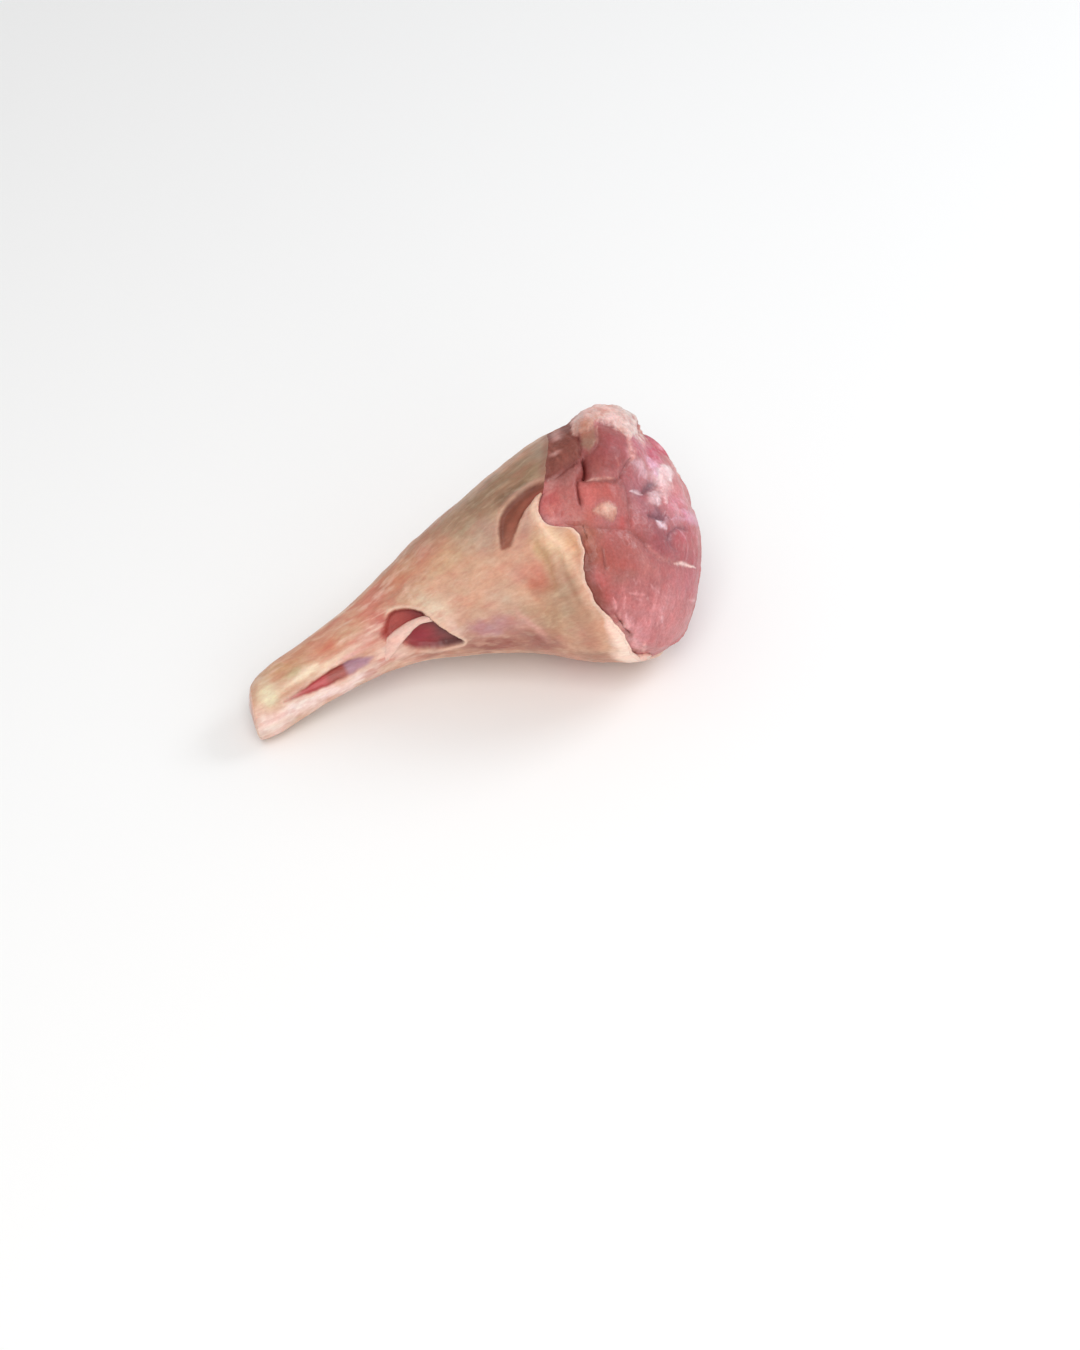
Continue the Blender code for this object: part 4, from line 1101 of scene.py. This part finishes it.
def paint_collar(points, ripple, relief, colour):
    """Gristle and fat round the joint bone. Returns also where they are."""
    _, bone_height, bone_side, half_height, _ = BONE[-1]
    away = off_axis(points, bone_side, bone_height) - half_height + 0.8 * ripple
    collar = smooth_step(COLLAR_WIDTH - away, 0, 2.2) * smooth_step(points[..., 0], 158, 166)
    strands = rough_noise(points, (9, 1.4, 1.4), seed=221)
    outside = smooth_step(away, -1.6, 0.6)
    gristle = paint(GRISTLE, 0.5 + strands, COLLAR_PINK)
    colour = paint(colour, 0.95 * collar * smooth_step(points[..., 1], 6, 14), gristle)
    relief = relief + collar * ((0.5 + 0.6 * strands) * outside - COLLAR_SINK * (1 - outside))
    return relief, colour, collar


def paint_back(points, back, relief, colour):
    """Hidden half of the cut: muscle bundles with pale seams, and gristle round the joint bone."""
    ripple = 1.6 * noise(points, 7, seed=201) + 0.6 * noise(points, 2.5, seed=203)
    bundle, gap = back_seams(points)
    gap = np.abs(gap + 0.5 * ripple)
    seam = bump(gap, 0, 1)
    pale = smooth_step(rough_noise(points, 8, seed=211), -0.15, 0.35)
    fascia = smooth_step(rough_noise(points, 10, seed=213), 0.22, 0.5)
    fascia = fascia * (0.4 + 0.6 * rough_noise(points, 1.8, seed=217))
    relief = relief + back * (1 - np.exp(-gap / 2.2) - 1.3 * seam)
    mottle = 1 + 0.10 * rough_noise(points, 4, seed=207)
    colour = paint(colour, back, BACK_TONES[bundle] * mottle[..., None])
    colour = paint(colour, back * seam * (1 - pale), MEAT_DARK)
    colour = paint(colour, back * pale * bump(gap, 0.4, 1.1), SEAM_PALE)
    colour = paint(colour, 0.7 * back * fascia, FASCIA)
    relief, colour, collar = paint_collar(points, ripple, relief, colour)
    return relief, colour, np.maximum(collar, 0.6 * back * fascia)


def paint_seams(place, height, facing, relief, colour):
    """The seams between the muscles on the shown half, each a furrow with rounded shoulders, darkened
    partly with painted shade.
    """
    for gap, along, deep, width, tone, dark in near_lines(place, height, SEAMS):
        ends = 0.35 + 0.65 * smooth_step(along, 0.0, 0.15) * (1 - smooth_step(along, 0.85, 1.0))
        sharp = np.exp(-gap / width) * facing * ends
        wide = bump(gap, 0, 3.6 * width) * facing * ends
        relief = relief - deep * (0.7 * sharp + 0.45 * wide)
        # Dark seam lines and darker shoulders: partly the seams' own colour, partly painted shade.
        colour = paint(colour, dark * bump(gap, 0, width) * facing * ends, tone)
        colour = paint(colour, 0.4 * dark * wide, rgb(tone) * 1.6)
    return relief, colour


def paint_strokes(place, height, facing, grain, relief, colour, wet, fat):
    """Sinews, fascia, fat flecks and painted highlights on the shown half, a little raised."""
    for gap, along, width, tone, share, high in near_lines(place, height, STROKES):
        taper = 0.3 + 0.7 * np.sin(np.pi * np.clip(along, 0.02, 0.98))
        mark = bump(gap, 0, 1.1 * width * taper) * (0.85 + 0.6 * grain) * facing
        # The pale strokes on the right are fascia with painted highlights.
        colour = paint(colour, share * mark, tone)
        relief = relief + 0.6 * high * mark
        fat = np.maximum(fat, share * mark)
        wet = wet + 0.3 * mark
    return relief, colour, wet, fat


def lump_share(points, place, height, grain):
    """Where the gristle lump lies: as drawn on the shown side, and round its middle behind."""
    drawn = smooth_step(depth_inside(place, height, LUMP)[0] + 1.2 * grain, -0.8, 1.0)
    turn = np.arctan2(points[..., 2], -points[..., 1])
    solid = bump(points[..., 0], LUMP_PLACE, 14) * bump(turn, math.radians(100), math.radians(24))
    solid = smooth_step(solid + 0.25 * grain, 0.3, 0.6)
    behind = smooth_step(points[..., 1], -5, 1)
    return (drawn * (1 - behind) + solid * behind) * smooth_step(points[..., 2], 22, 30)


def paint_fat(points, place, height, facing, grain, relief, colour, fat):
    """Fat spot and tan strip."""
    speck = rough_noise(points, 1.3, seed=79)
    spot = depth_inside(place, height, smooth_line(FAT_SPOT, closed=True))[0] + 0.7 * grain
    spot = smooth_step(spot, -0.8, 1.2) * facing
    core = oval(place, height, (162.8, 8.8), (2.8, 2.6))
    tone = paint(SPOT_RIM, core + 0.3 * speck, SPOT_CORE)
    colour = paint(colour, 0.85 * spot, tone)
    relief = relief + 0.9 * spot
    strip = smooth_step(depth_inside(place, height, TAN_STRIP)[0] + 0.7 * grain, -0.8, 1.4) * facing
    tone = paint(STRIP_LOW, smooth_step(height, 37, 42), STRIP_HIGH)
    colour = paint(colour, 0.85 * strip, tone)
    return relief + 0.5 * strip, colour, np.maximum(fat, spot)


def paint_lump(points, place, height, grain, relief, colour, fat):
    """The gristle lump on top of the knee end, and the dents and bulges of the outline."""
    lump = lump_share(points, place, height, grain)
    folds = rough_noise(points, 5, seed=107)
    tone = paint(GRISTLE, 0.5 + 0.8 * folds, LUMP_PALE)
    # Painted shade in the dips between the lump's folds.
    tone = paint(tone, 0.8 * smooth_step(-folds, 0.15, 0.5), LUMP_DIP_SHADE)
    tone = paint(tone, smooth_step(place, 183, 188), LUMP_RIGHT)
    tone = paint(tone, 0.9 * oval(place, height, (170, 43), (6, 3.2)), LUMP_LEFT)
    colour = paint(colour, 0.95 * lump, tone)
    relief = relief + lump * (0.9 + 1.1 * folds)
    for at, radii, high in DENTS:
        relief = relief + high * oval(place, height, at, radii)
    return relief, colour, np.maximum(fat, lump)


def paint_upper_muscle(points, line, drawn, over, relief, colour, wet):
    """The upper muscle: recessed and dry, with dull streaks across it."""
    upper = smooth_step(depth_inside(*line, UPPER_MUSCLE)[0], -0.8, 1.0) * over
    height = as_seen(points)[1]
    across = np.stack([drawn[0] + 0.45 * drawn[1], 0 * height, 0.15 * height], axis=-1)
    streaks = rough_noise(across, 3.0, seed=99)
    tone = paint(MEAT_DUSK, 0.1 + 0.9 * streaks, UPPER_PALE)
    tone = paint(tone, 0.6 * smooth_step(-streaks, 0.1, 0.5), UPPER_DARK)
    relief = relief - 0.2 * upper + 0.3 * upper * streaks
    return relief, paint(colour, upper, tone), wet - 0.8 * upper


def paint_fibres(points, seen, line, facing, bands, relief, colour):
    """Thin bright fat between the fibres, and fascia on the right painted pale, partly as painted
    highlights. Returns also where that is.
    """
    thread = smooth_step(rough_noise(stretched(points, along=1, up=0.6), 1.7, seed=103), 0.42, 0.66)
    lobe = oval(*seen, (158, -36), (15, 14))
    right = oval(*seen, (187, 2), (7, 24)) * facing
    slanted = np.stack([line[0] - 0.7 * line[1], 0.3 * line[1], 0 * line[0]], axis=-1)
    fibres = rough_noise(slanted, 3.4, seed=109)
    colour = paint(colour, thread * (0.10 * facing + 0.5 * np.maximum(lobe * facing, right)), FIBRE_FAT)
    colour = paint_layers(colour, [
        (fibres, 0.08, 0.45, 0.60 * lobe * facing, LOBE_PALE),
        (-fibres, 0.08, 0.40, 0.55 * lobe * facing, LOBE_DARK),
        # Pale bands on the right: fascia, partly painted highlights.
        (bands, 0.1, 0.5, 0.5 * right, RIGHT_PALE),
    ])
    relief = relief + 0.35 * lobe * facing * fibres
    return relief + 0.5 * right * rough_noise(points, 4.5, seed=105), colour, right


def cut_paint(points, normals):
    """Relief, colour and finish of the bare meat."""
    seen = as_seen(points)
    facing = smooth_step(-normals[..., 1], *CUT_FACING)
    over = smooth_step(-normals[..., 1], *UPPER_FACING)
    lumps = rough_noise(points, 11, seed=71)
    grain = rough_noise(points, 2.0, seed=75)
    speck = rough_noise(points, 0.9, seed=79, octaves=2)
    warp = noise(points, 9, seed=83)[..., None]
    bands = rough_noise(stretched(points, along=1, up=0.4) + 2.2 * warp, 2.6, seed=87)
    drawn = warped(points, *seen, sizes=(6, 2.2), reaches=(1.3, 0.7), seed=135)
    line = warped(points, *seen, sizes=(6, 2.2), reaches=(0.4, 0.2), seed=135)

    relief = MEAT_LUMPS * lumps + MEAT_GRAIN * grain + MEAT_SPECKS * speck + MEAT_BANDS * bands
    colour = paint(MEAT, 0.3 + 0.8 * lumps, MEAT_LIGHT)
    # The cut's patches include painted highlights on the right.
    colour = paint_patches(colour, *drawn, MEAT_PATCHES, facing * (1.15 + 0.5 * bands))
    wet = 0.55 + 0.3 * lumps - 0.45 * oval(*seen, (172, 30), (13, 12)) * facing
    relief, colour, fat = paint_back(points, 1 - facing, relief, colour)
    relief, colour, wet = paint_upper_muscle(points, line, drawn, over, relief, colour, wet)
    relief, colour, right = paint_fibres(points, seen, line, facing, bands, relief, colour)
    relief, colour = paint_seams(*line, facing, relief, colour)
    relief, colour, wet, fat = paint_strokes(*line, facing, grain, relief, colour, wet, fat)
    relief, colour, fat = paint_fat(points, *line, facing, grain, relief, colour, fat)
    relief, colour, fat = paint_lump(points, *line, grain, relief, colour, fat)
    colour = colour * (1 + 0.10 * bands + 0.08 * grain + 0.05 * speck)[..., None]
    return relief, colour, finish_of(points, np.clip(wet + 0.3 * right, 0, 1.2), fat)


def cut_grid(angle, edge, knee, last, thick, roundness):
    """Loops from the fell's edge round its lip, over the bare meat and across the knee end."""
    floor = last["depth"] + thick
    rows = [last["points"]]
    for turn in np.linspace(0, math.pi, LIP_TURNS + 1)[1:]:
        depth = last["depth"] + thick * (1 - math.cos(turn)) / 2
        rows.append(body_points(edge + roundness * thick * math.sin(turn), angle, depth))
    for beyond, deeper in UNDER_LIP:
        rows.append(body_points(edge + beyond * thick, angle, floor + deeper * thick))
    start = edge + STRIP_START * thick
    for share in np.linspace(0, 1, STRIP_ROWS):
        depth = (floor + STRIP_SINK * thick) * (1 - share) + RIM_INSET * share
        rows.append(body_points(start + (knee - start) * share, angle, depth))
    rim = rows[-1]
    middle = rim[:, 1:].mean(axis=0)
    for ring in range(1, CAP_RINGS):
        share = math.cos(ring / CAP_RINGS * math.pi / 2)
        side, height = (middle + (rim[:, 1:] - middle) * share).T
        place = end_place(side, height, share, knee_plane, KNEE_DOME, muscle_relief)
        rows.append(np.column_stack([place, side, height]))
    tip_place = end_place(middle[0], middle[1], 0.0, knee_plane, KNEE_DOME, muscle_relief)
    return np.array(rows), np.array([tip_place, *middle])


def paint_lip(row, seen_height, shown, thick, last, colour, finish):
    """Colours the rows of the lip as the fell, with painted shade underneath."""
    on_lip = 1 - smooth_step(row, LIP_TURNS, LIP_TURNS + 3)
    pale = lip_paleness(seen_height, shown) * smooth_step(thick, 0.3, 0.9)
    tone = paint(last["colour"], 0.7 * pale, FAT_PINK)
    # Painted shade on the underside of the lip, except where the fell is torn open.
    tone = tone * (1 - 0.3 * smooth_step(row, 3, 9) * (1 - last["open"]))[..., None]
    upper = smooth_step(seen_height, 30, 34) * shown
    tone = paint(tone, 0.8 * upper * smooth_step(row, 0, 4), MEAT_DUSK)
    finish[..., 2] = np.maximum(finish[..., 2], on_lip * (1 - last["open"]))
    return paint(colour, on_lip, tone)


def paint_beside_lip(points, seen_height, shown, thick, last, colour):
    """The meat beside the lip: painted shade along it, a darker painted shadow where the lip overhangs
    it, and a film of fat in places.
    """
    steps = np.linalg.norm(np.diff(points, axis=0, prepend=points[:1]), axis=-1)
    travelled = np.cumsum(steps, axis=0)
    beyond = travelled - travelled[LIP_TURNS + len(UNDER_LIP)]
    patchy = rough_noise(last["points"], 7, seed=313)
    melted = (1 - smooth_step(seen_height, -36, -30)) * shown
    shadow = bump(beyond, 0.4, 1.0) * smooth_step(thick, 0.3, 1.2) * (1 + 0.8 * patchy)
    shadow = np.clip(shadow, 0, 1.4) * (1 - 0.7 * melted)
    colour = colour * (1 - 0.35 * shadow)[..., None]
    overhung = smooth_step(seen_height, -32, -24) * (1 - smooth_step(seen_height, -8, 2)) * shown
    near = smooth_step(beyond, -0.6, 0.2) * (1 - smooth_step(beyond + 2.0 * patchy, 2.0, 7.5))
    # Painted shadow of the overhanging lip on the meat.
    colour = paint(colour, 0.85 * overhung * near, OVERHANG_SHADOW)
    film = bump(beyond, 3.5, 2.2) * smooth_step(patchy, 0.0, 0.4) * (1 - overhung)
    film = film * (1 - 0.9 * bump(seen_height, 3, 7))
    film = film + melted * bump(beyond, 1.0, 1.6) * smooth_step(patchy, -0.2, 0.2)
    return paint(colour, 0.55 * film, FILM_FAT)


def build_cut(angle, edge, knee, last):
    """The lip of the fell, the bare muscle and the knee-end face, in one mesh."""
    seen_height = as_seen(body_points(edge, angle))[1]
    shown = smooth_step(np.cos(angle), *FELL_TURN)
    low = (1 - smooth_step(seen_height, -46, -20)) * shown
    meat_depth = MEAT_DEPTH - LOW_MEAT_RISE * low
    meat_depth = meat_depth - UPPER_MEAT_RISE * smooth_step(seen_height, 28, 33) * shown
    meat_depth = meat_depth * (1 + 0.5 * rough_noise(last["points"], 12, seed=311))
    thick = np.maximum(meat_depth - last["depth"], 0.05)
    points, tip = cut_grid(angle, edge, knee, last, thick, LIP_ROUNDNESS + LOW_LIP_ROUNDNESS * low)
    normals = outward_directions(points)
    relief, colour, finish = cut_paint(points, normals)
    row = np.arange(len(points))[:, None] * np.ones(relief.shape)
    points = points + normals * (relief * smooth_step(row, LIP_TURNS + 2, LIP_TURNS + 8))[..., None]
    colour = paint_lip(row, seen_height, shown, thick, last, colour, finish)
    colour = paint_beside_lip(points, seen_height, shown, thick, last, colour)

    tip = tip + normals[-1].mean(axis=0) * relief[-1].mean()
    flat = np.concatenate([points.reshape(-1, 3), tip[None]])
    colours = np.concatenate([colour.reshape(-1, 3), colour[-1].mean(axis=0)[None]])
    finishes = np.concatenate([finish.reshape(-1, 3), finish[-1].mean(axis=0)[None]])
    count = len(angle)
    faces = grid_faces(len(points), count)
    faces += fan_faces((len(points) - 1) * count, count, len(flat) - 1, flip=False)
    return surface_piece("cut_meat", flat, faces, colours, finishes)


# Tubes: tendon strand and curl of fell


def tube(name, path, half_widths, half_heights, tone, finish):
    """A closed tube with an oval section, flattened towards the shown side, along a path."""
    path = np.asarray(path, float)
    forward = np.gradient(path, axis=0)
    forward /= np.linalg.norm(forward, axis=1, keepdims=True)
    across = np.cross(forward, np.array(TUBE_FACE))
    across /= np.linalg.norm(across, axis=1, keepdims=True)
    up = np.cross(across, forward)
    turn = np.linspace(0, 2 * math.pi, TUBE_SIDES, endpoint=False)
    rings = [
        point + np.outer(np.cos(turn) * wide, a) + np.outer(np.sin(turn) * tall, u)
        for point, a, u, wide, tall in zip(path, across, up, half_widths, half_heights)
    ]
    flat = np.concatenate([*rings, path[:1], path[-1:]])
    uneven = TUBE_ROUGH * rough_noise(flat, (6, 1.6, 1.6), seed=119)[:, None]
    flat = flat + uneven * np.array([0.0, 1.0, 1.0])
    faces = tube_faces(len(rings), TUBE_SIDES)
    mottle = 1 + TUBE_MOTTLE * rough_noise(stretched(flat, along=0.3), 1.2, seed=121)
    colours = rgb(tone) * mottle[:, None]
    return surface_piece(name, flat, faces, colours, finish_of(flat, *finish), grain_along=0.35)


def shown_surface(seen_place, seen_height, sink=0.0):
    """The body's point that shows at a place as seen, sunk by a given depth."""
    place, height = seen_place, seen_height
    for _ in range(SEEN_STEPS):
        low, high = -0.5 * math.pi, 0.5 * math.pi
        for _ in range(HALVINGS):
            middle = (low + high) / 2
            if cross_section(np.array(place), np.array(middle))[1] < height:
                low = middle
            else:
                high = middle
        point = body_points(np.array(place), np.array(low), sink)
        at_place, at_height = as_seen(point)
        place += seen_place - at_place
        height += seen_height - at_height
    return point


def drawn_tube(name, rows, flatness, tone, finish):
    """A tube that lies on the shown side along a table of places as seen."""
    steps = np.linspace(rows[0][0], rows[-1][0], TUBE_LOOPS)
    height, half, sink = through(rows, steps)
    path = np.array([shown_surface(p, h, s) for p, h, s in zip(steps, height, sink)])
    return tube(name, path, half, flatness * half, tone, finish)


# Shin bone


def bone_ring(place):
    """Sideways positions and heights of the bone's surface, all round."""
    turn = np.linspace(0, 2 * math.pi, BONE_SIDES, endpoint=False)
    up, side, half, width = through(BONE, place)
    return side - width * np.cos(turn), up + half * np.sin(turn)


def bone_head_edge():
    """Place of the joint head's edge all round: a flat slice just below the cut's surface."""
    side, height = bone_ring(BONE[-1][0])
    level = np.column_stack([np.ones(side.shape), side, height])
    return level @ np.linalg.lstsq(level, knee_surface(side, height), rcond=None)[0] - BONE_HEAD_SUNK


def bone_end(loop, rise, dip):
    """Loops and a tip that round off one end of the bone."""
    middle = loop.mean(axis=0)
    made = []
    for share in np.cos(np.linspace(0, 0.5 * math.pi, BONE_END_RINGS)[1:-1]):
        points = middle + (loop - middle) * share
        swell = rise * (1 - share**BONE_END_FLATNESS)
        points[:, 0] += swell - dip * bump(points[:, 1], middle[1], CONDYLE_GAP)
        made.append(points)
    return made, middle + np.array([rise - dip, 0.0, 0.0])


def bone_paint(points):
    """Colours of the bone: pale with a blush, bluish gristle, a red edge where it leaves the meat on
    the shown side, and marrow in the hock end.
    """
    blush = smooth_step(rough_noise(points, 5, seed=141), 0.0, 0.6)
    colours = paint(BONE_PALE, 0.6 * blush, BONE_BLUSH)
    colours = paint(colours, 0.5 * smooth_step(rough_noise(points, 8, seed=151), 0.1, 0.6), BONE_GRISTLE)
    edge = smooth_step(BONE[-1][2] - points[:, 1], 3, 8) * (points[:, 0] > 160)
    colours = paint(colours, 0.85 * edge, CRIMSON)
    _, bone_height, bone_side, _, _ = BONE[0]
    away = off_axis(points, bone_side, bone_height)
    return paint(colours, 0.8 * bump(away, 0, MARROW_RADIUS) * (points[:, 0] < 10), MARROW)


def build_bone():
    """The shin bone, with the joint face that stands out of the cut."""
    first = hock_plane(*bone_ring(BONE[0][0])) - BONE_END_PROUD
    last = bone_head_edge()
    loops = []
    for share in np.linspace(0, 1, BONE_LOOPS):
        place = first + (last - first) * share
        loops.append(np.column_stack([place, *bone_ring(place)]))
    hock, hock_tip = bone_end(loops[0], -BONE_END_DOME, 0.0)
    head, head_tip = bone_end(loops[-1], BONE_HEAD_DOME, CONDYLE_DIP)
    rings = hock[::-1] + loops + head
    flat = np.concatenate([*rings, hock_tip[None], head_tip[None]])
    flat = flat + BONE_ROUGH * rough_noise(flat, 4, seed=131)[:, None] * np.array([1.0, 0.3, 0.3])
    faces = tube_faces(len(rings), BONE_SIDES)
    return surface_piece("joint_bone", flat, faces, bone_paint(flat), finish_of(flat, wet=0.8, fat=0.6))


# Materials


# Fine variation of the flesh: noise values from and to, and how far the tints there leave 1.
FIBRE_TINTS = (0.36, 0.64, (-0.14, -0.24, -0.25), (0.06, 0.10, 0.10))
PORE_TINTS = (0.30, 0.70, (-0.07, -0.12, -0.12), (0.04, 0.07, 0.07))
BLOTCH_TINTS = (0.35, 0.65, (0.02, -0.05, -0.06), (-0.02, 0.02, 0.02))

# Gloss of the flesh: how much wetness lowers the roughness, and how much the pores raise it.
WET_GLOSS, PORE_ROUGHNESS = 0.14, 0.16

# Dents of the flesh: shares of fibres and pores, how much fat smooths them, strength, depth in metres.
FIBRE_DENTS, PORE_DENTS, FAT_SMOOTHS, DENT_STRENGTH, DENT_DEPTH = 0.7, 0.35, 0.4, 0.6, 0.0005


def node(tree, kind, **values):
    """A new shader node with some of its properties set."""
    made = tree.nodes.new(kind)
    for key, value in values.items():
        setattr(made, key, value)
    return made


def math_node(tree, operation, first, second):
    """A Math node of two values, each a number or a socket."""
    made = node(tree, "ShaderNodeMath", operation=operation)
    for socket, value in zip(made.inputs, (first, second)):
        if isinstance(value, (int, float)):
            socket.default_value = value
        else:
            tree.links.new(value, socket)
    return made.outputs[0]


def noise_node(tree, vector, scale, detail):
    """Noise on the grain coordinates, which are millimetres in the shank's own frame."""
    made = node(tree, "ShaderNodeTexNoise")
    made.inputs["Scale"].default_value = scale
    made.inputs["Detail"].default_value = detail
    tree.links.new(vector, made.inputs["Vector"])
    return made.outputs["Fac"]


def tinted(tree, colour, tint):
    """A colour socket multiplied by a fixed tint."""
    made = node(tree, "ShaderNodeMix", data_type="RGBA", blend_type="MULTIPLY")
    made.inputs["Factor"].default_value = 1.0
    tree.links.new(colour, made.inputs["A"])
    made.inputs["B"].default_value = (*tint, 1)
    return made.outputs["Result"]


def varied(tree, colour, value, tints, contrast=1.0):
    """A colour that a noise value takes from one tint to another."""
    low, high, dark, light = tints
    share = node(tree, "ShaderNodeMapRange")
    share.inputs["From Min"].default_value = low
    share.inputs["From Max"].default_value = high
    tree.links.new(value, share.inputs["Value"])
    made = node(tree, "ShaderNodeMix", data_type="RGBA")
    tree.links.new(share.outputs["Result"], made.inputs["Factor"])
    for socket, steps in (("A", dark), ("B", light)):
        tint = [1 + contrast * step for step in steps]
        tree.links.new(tinted(tree, colour, tint), made.inputs[socket])
    return made.outputs["Result"]


def flesh_material(name, scatter, roughness, coat_strength, contrast):
    """Moist flesh: painted colour with fine fibres, fat flecks, wet gloss and soft light inside."""
    material = bpy.data.materials.new(name)
    material.use_nodes = True
    tree = material.node_tree
    surface = tree.nodes["Principled BSDF"]
    grain = node(tree, "ShaderNodeAttribute", attribute_name="grain").outputs["Vector"]
    tint = node(tree, "ShaderNodeAttribute", attribute_name="tint").outputs["Color"]
    finish = node(tree, "ShaderNodeAttribute", attribute_name="finish").outputs["Color"]
    split = node(tree, "ShaderNodeSeparateColor")
    tree.links.new(finish, split.inputs[0])
    wet, fat = split.outputs["Red"], split.outputs["Blue"]

    fibre = noise_node(tree, grain, scale=0.9, detail=5.0)
    pores = noise_node(tree, grain, scale=2.4, detail=3.0)
    blotch = noise_node(tree, grain, scale=0.22, detail=3.0)
    colour = varied(tree, tint, fibre, FIBRE_TINTS, contrast)
    colour = varied(tree, colour, pores, PORE_TINTS, contrast)
    colour = varied(tree, colour, blotch, BLOTCH_TINTS)
    gloss = math_node(tree, "SUBTRACT", roughness, math_node(tree, "MULTIPLY", wet, WET_GLOSS))
    gloss = math_node(tree, "ADD", gloss, math_node(tree, "MULTIPLY", pores, PORE_ROUGHNESS))
    coat = math_node(tree, "MULTIPLY", math_node(tree, "MULTIPLY", wet, blotch), coat_strength)

    height = math_node(tree, "MULTIPLY", fibre, FIBRE_DENTS)
    height = math_node(tree, "ADD", height, math_node(tree, "MULTIPLY", pores, PORE_DENTS))
    smoother = math_node(tree, "SUBTRACT", 1.0, math_node(tree, "MULTIPLY", fat, FAT_SMOOTHS))
    dents = node(tree, "ShaderNodeBump")
    dents.inputs["Strength"].default_value = DENT_STRENGTH
    dents.inputs["Distance"].default_value = DENT_DEPTH
    tree.links.new(math_node(tree, "MULTIPLY", height, smoother), dents.inputs["Height"])

    normal = dents.outputs["Normal"]
    made = {"Base Color": colour, "Roughness": gloss, "Coat Weight": coat, "Normal": normal}
    for socket, value in made.items():
        tree.links.new(value, surface.inputs[socket])
    fixed = {
        "Coat Roughness": 0.13,
        "Subsurface Weight": 0.18,
        "Subsurface Radius": (1.0, 0.36, 0.24),
        "Subsurface Scale": scatter,
        "IOR": 1.40,
    }
    for socket, value in fixed.items():
        surface.inputs[socket].default_value = value
    return material


# Stage


SENSOR_WIDTH = 36.0
FLOOR_REACH, FLOOR_COLOUR = 30.0, (0.93, 0.93, 0.93, 1)
SKY_STRENGTH = 0.56

# Lamps: name, place, size, power, colour.
LAMPS = [
    ("key", (-0.25, -0.55, 1.15), 0.8, 6.9, (1.0, 0.985, 0.96)),
    ("window", (0.95, 0.10, 0.75), 0.5, 4.0, (0.92, 0.96, 1.0)),
    ("fill", (0.1, -1.3, 0.45), 1.0, 2.0, (1.0, 0.98, 0.96)),
]
LAMPS_AIM = (0.02, 0.0, 0.04)


def look_at(thing, target):
    """Turns a camera or light towards a point."""
    thing.rotation_euler = (Vector(target) - thing.location).to_track_quat("-Z", "Y").to_euler()


def build_camera():
    """The camera at the photo's viewing angle, level and looking down on the shank."""
    lie = lie_matrix()
    target = (lie[:3, :3] @ np.array([VIEW_CENTRE[0], 0.0, VIEW_CENTRE[1]]) + lie[:3, 3]) * MM
    away = lie[:3, :3] @ np.array([0.0, -1.0, 0.0])
    data = bpy.data.cameras.new("camera")
    data.lens = LENS
    data.sensor_width = SENSOR_WIDTH
    camera = added("camera", data)
    camera.location = Vector(target + away * VIEW_DISTANCE * MM)
    look_at(camera, target)
    bpy.context.scene.camera = camera


def build_floor():
    """A plain pale floor."""
    mesh = bpy.data.meshes.new("floor")
    corners = [(FLOOR_REACH * x, FLOOR_REACH * y, 0) for x, y in ((-1, -1), (1, -1), (1, 1), (-1, 1))]
    mesh.from_pydata(corners, [], [(0, 1, 2, 3)])
    floor = added("floor", mesh)
    material = bpy.data.materials.new("floor_paint")
    material.use_nodes = True
    surface = material.node_tree.nodes["Principled BSDF"]
    surface.inputs["Base Color"].default_value = FLOOR_COLOUR
    surface.inputs["Roughness"].default_value = 0.9
    mesh.materials.append(material)


def area_light(name, place, size, power, colour):
    """A soft square lamp that points at the shank."""
    data = bpy.data.lights.new(name, "AREA")
    data.shape = "SQUARE"
    data.size = size
    data.energy = power
    data.color = colour
    lamp = added(name, data)
    lamp.location = Vector(place)
    look_at(lamp, LAMPS_AIM)


def build_lights():
    """Plain soft studio light: a broad lamp above in front, one on the right, and a pale sky."""
    for lamp in LAMPS:
        area_light(*lamp)
    world = bpy.data.worlds.new("studio")
    world.use_nodes = True
    sky = world.node_tree.nodes["Background"]
    sky.inputs["Color"].default_value = (1.0, 1.0, 1.0, 1)
    sky.inputs["Strength"].default_value = SKY_STRENGTH
    bpy.context.scene.world = world
    bpy.context.scene.view_settings.view_transform = "Standard"


def dress(piece, material, slot, *nodes):
    """Gives a piece its material, hangs it under the root, and hides the model's parts that it takes the
    place of.
    """
    piece.data.materials.append(material)
    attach(piece, "root")
    if nodes:
        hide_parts(*nodes)


def build():
    """Builds the dressed shank and its stage."""
    fell = flesh_material("moist_fell", scatter=0.0030, roughness=0.47, coat_strength=0.7, contrast=0.45)
    meat = flesh_material("moist_meat", scatter=0.0030, roughness=0.46, coat_strength=0.8, contrast=0.65)
    bone = flesh_material("moist_bone", scatter=0.0025, roughness=0.34, coat_strength=1.0, contrast=0.5)
    skin, angle, edge, knee, last = build_skin()
    dress(skin, fell, "meat_and_fell", "shank_meat")
    dress(build_cut(angle, edge, knee, last), meat, "meat_and_fell", "shank_meat")
    strand = drawn_tube("tendon_strand", STRAND, flatness=0.5, tone=STRAND_TONE, finish=(0.7, 0.9))
    curl = drawn_tube("fell_curl", CURL, flatness=0.7, tone=CURL_TONE, finish=(0.6, 0.9))
    dress(strand, fell, "meat_and_fell")
    dress(curl, fell, "meat_and_fell")
    dress(build_bone(), bone, "bone", "shin_bone")
    build_floor()
    build_lights()
    build_camera()


build()
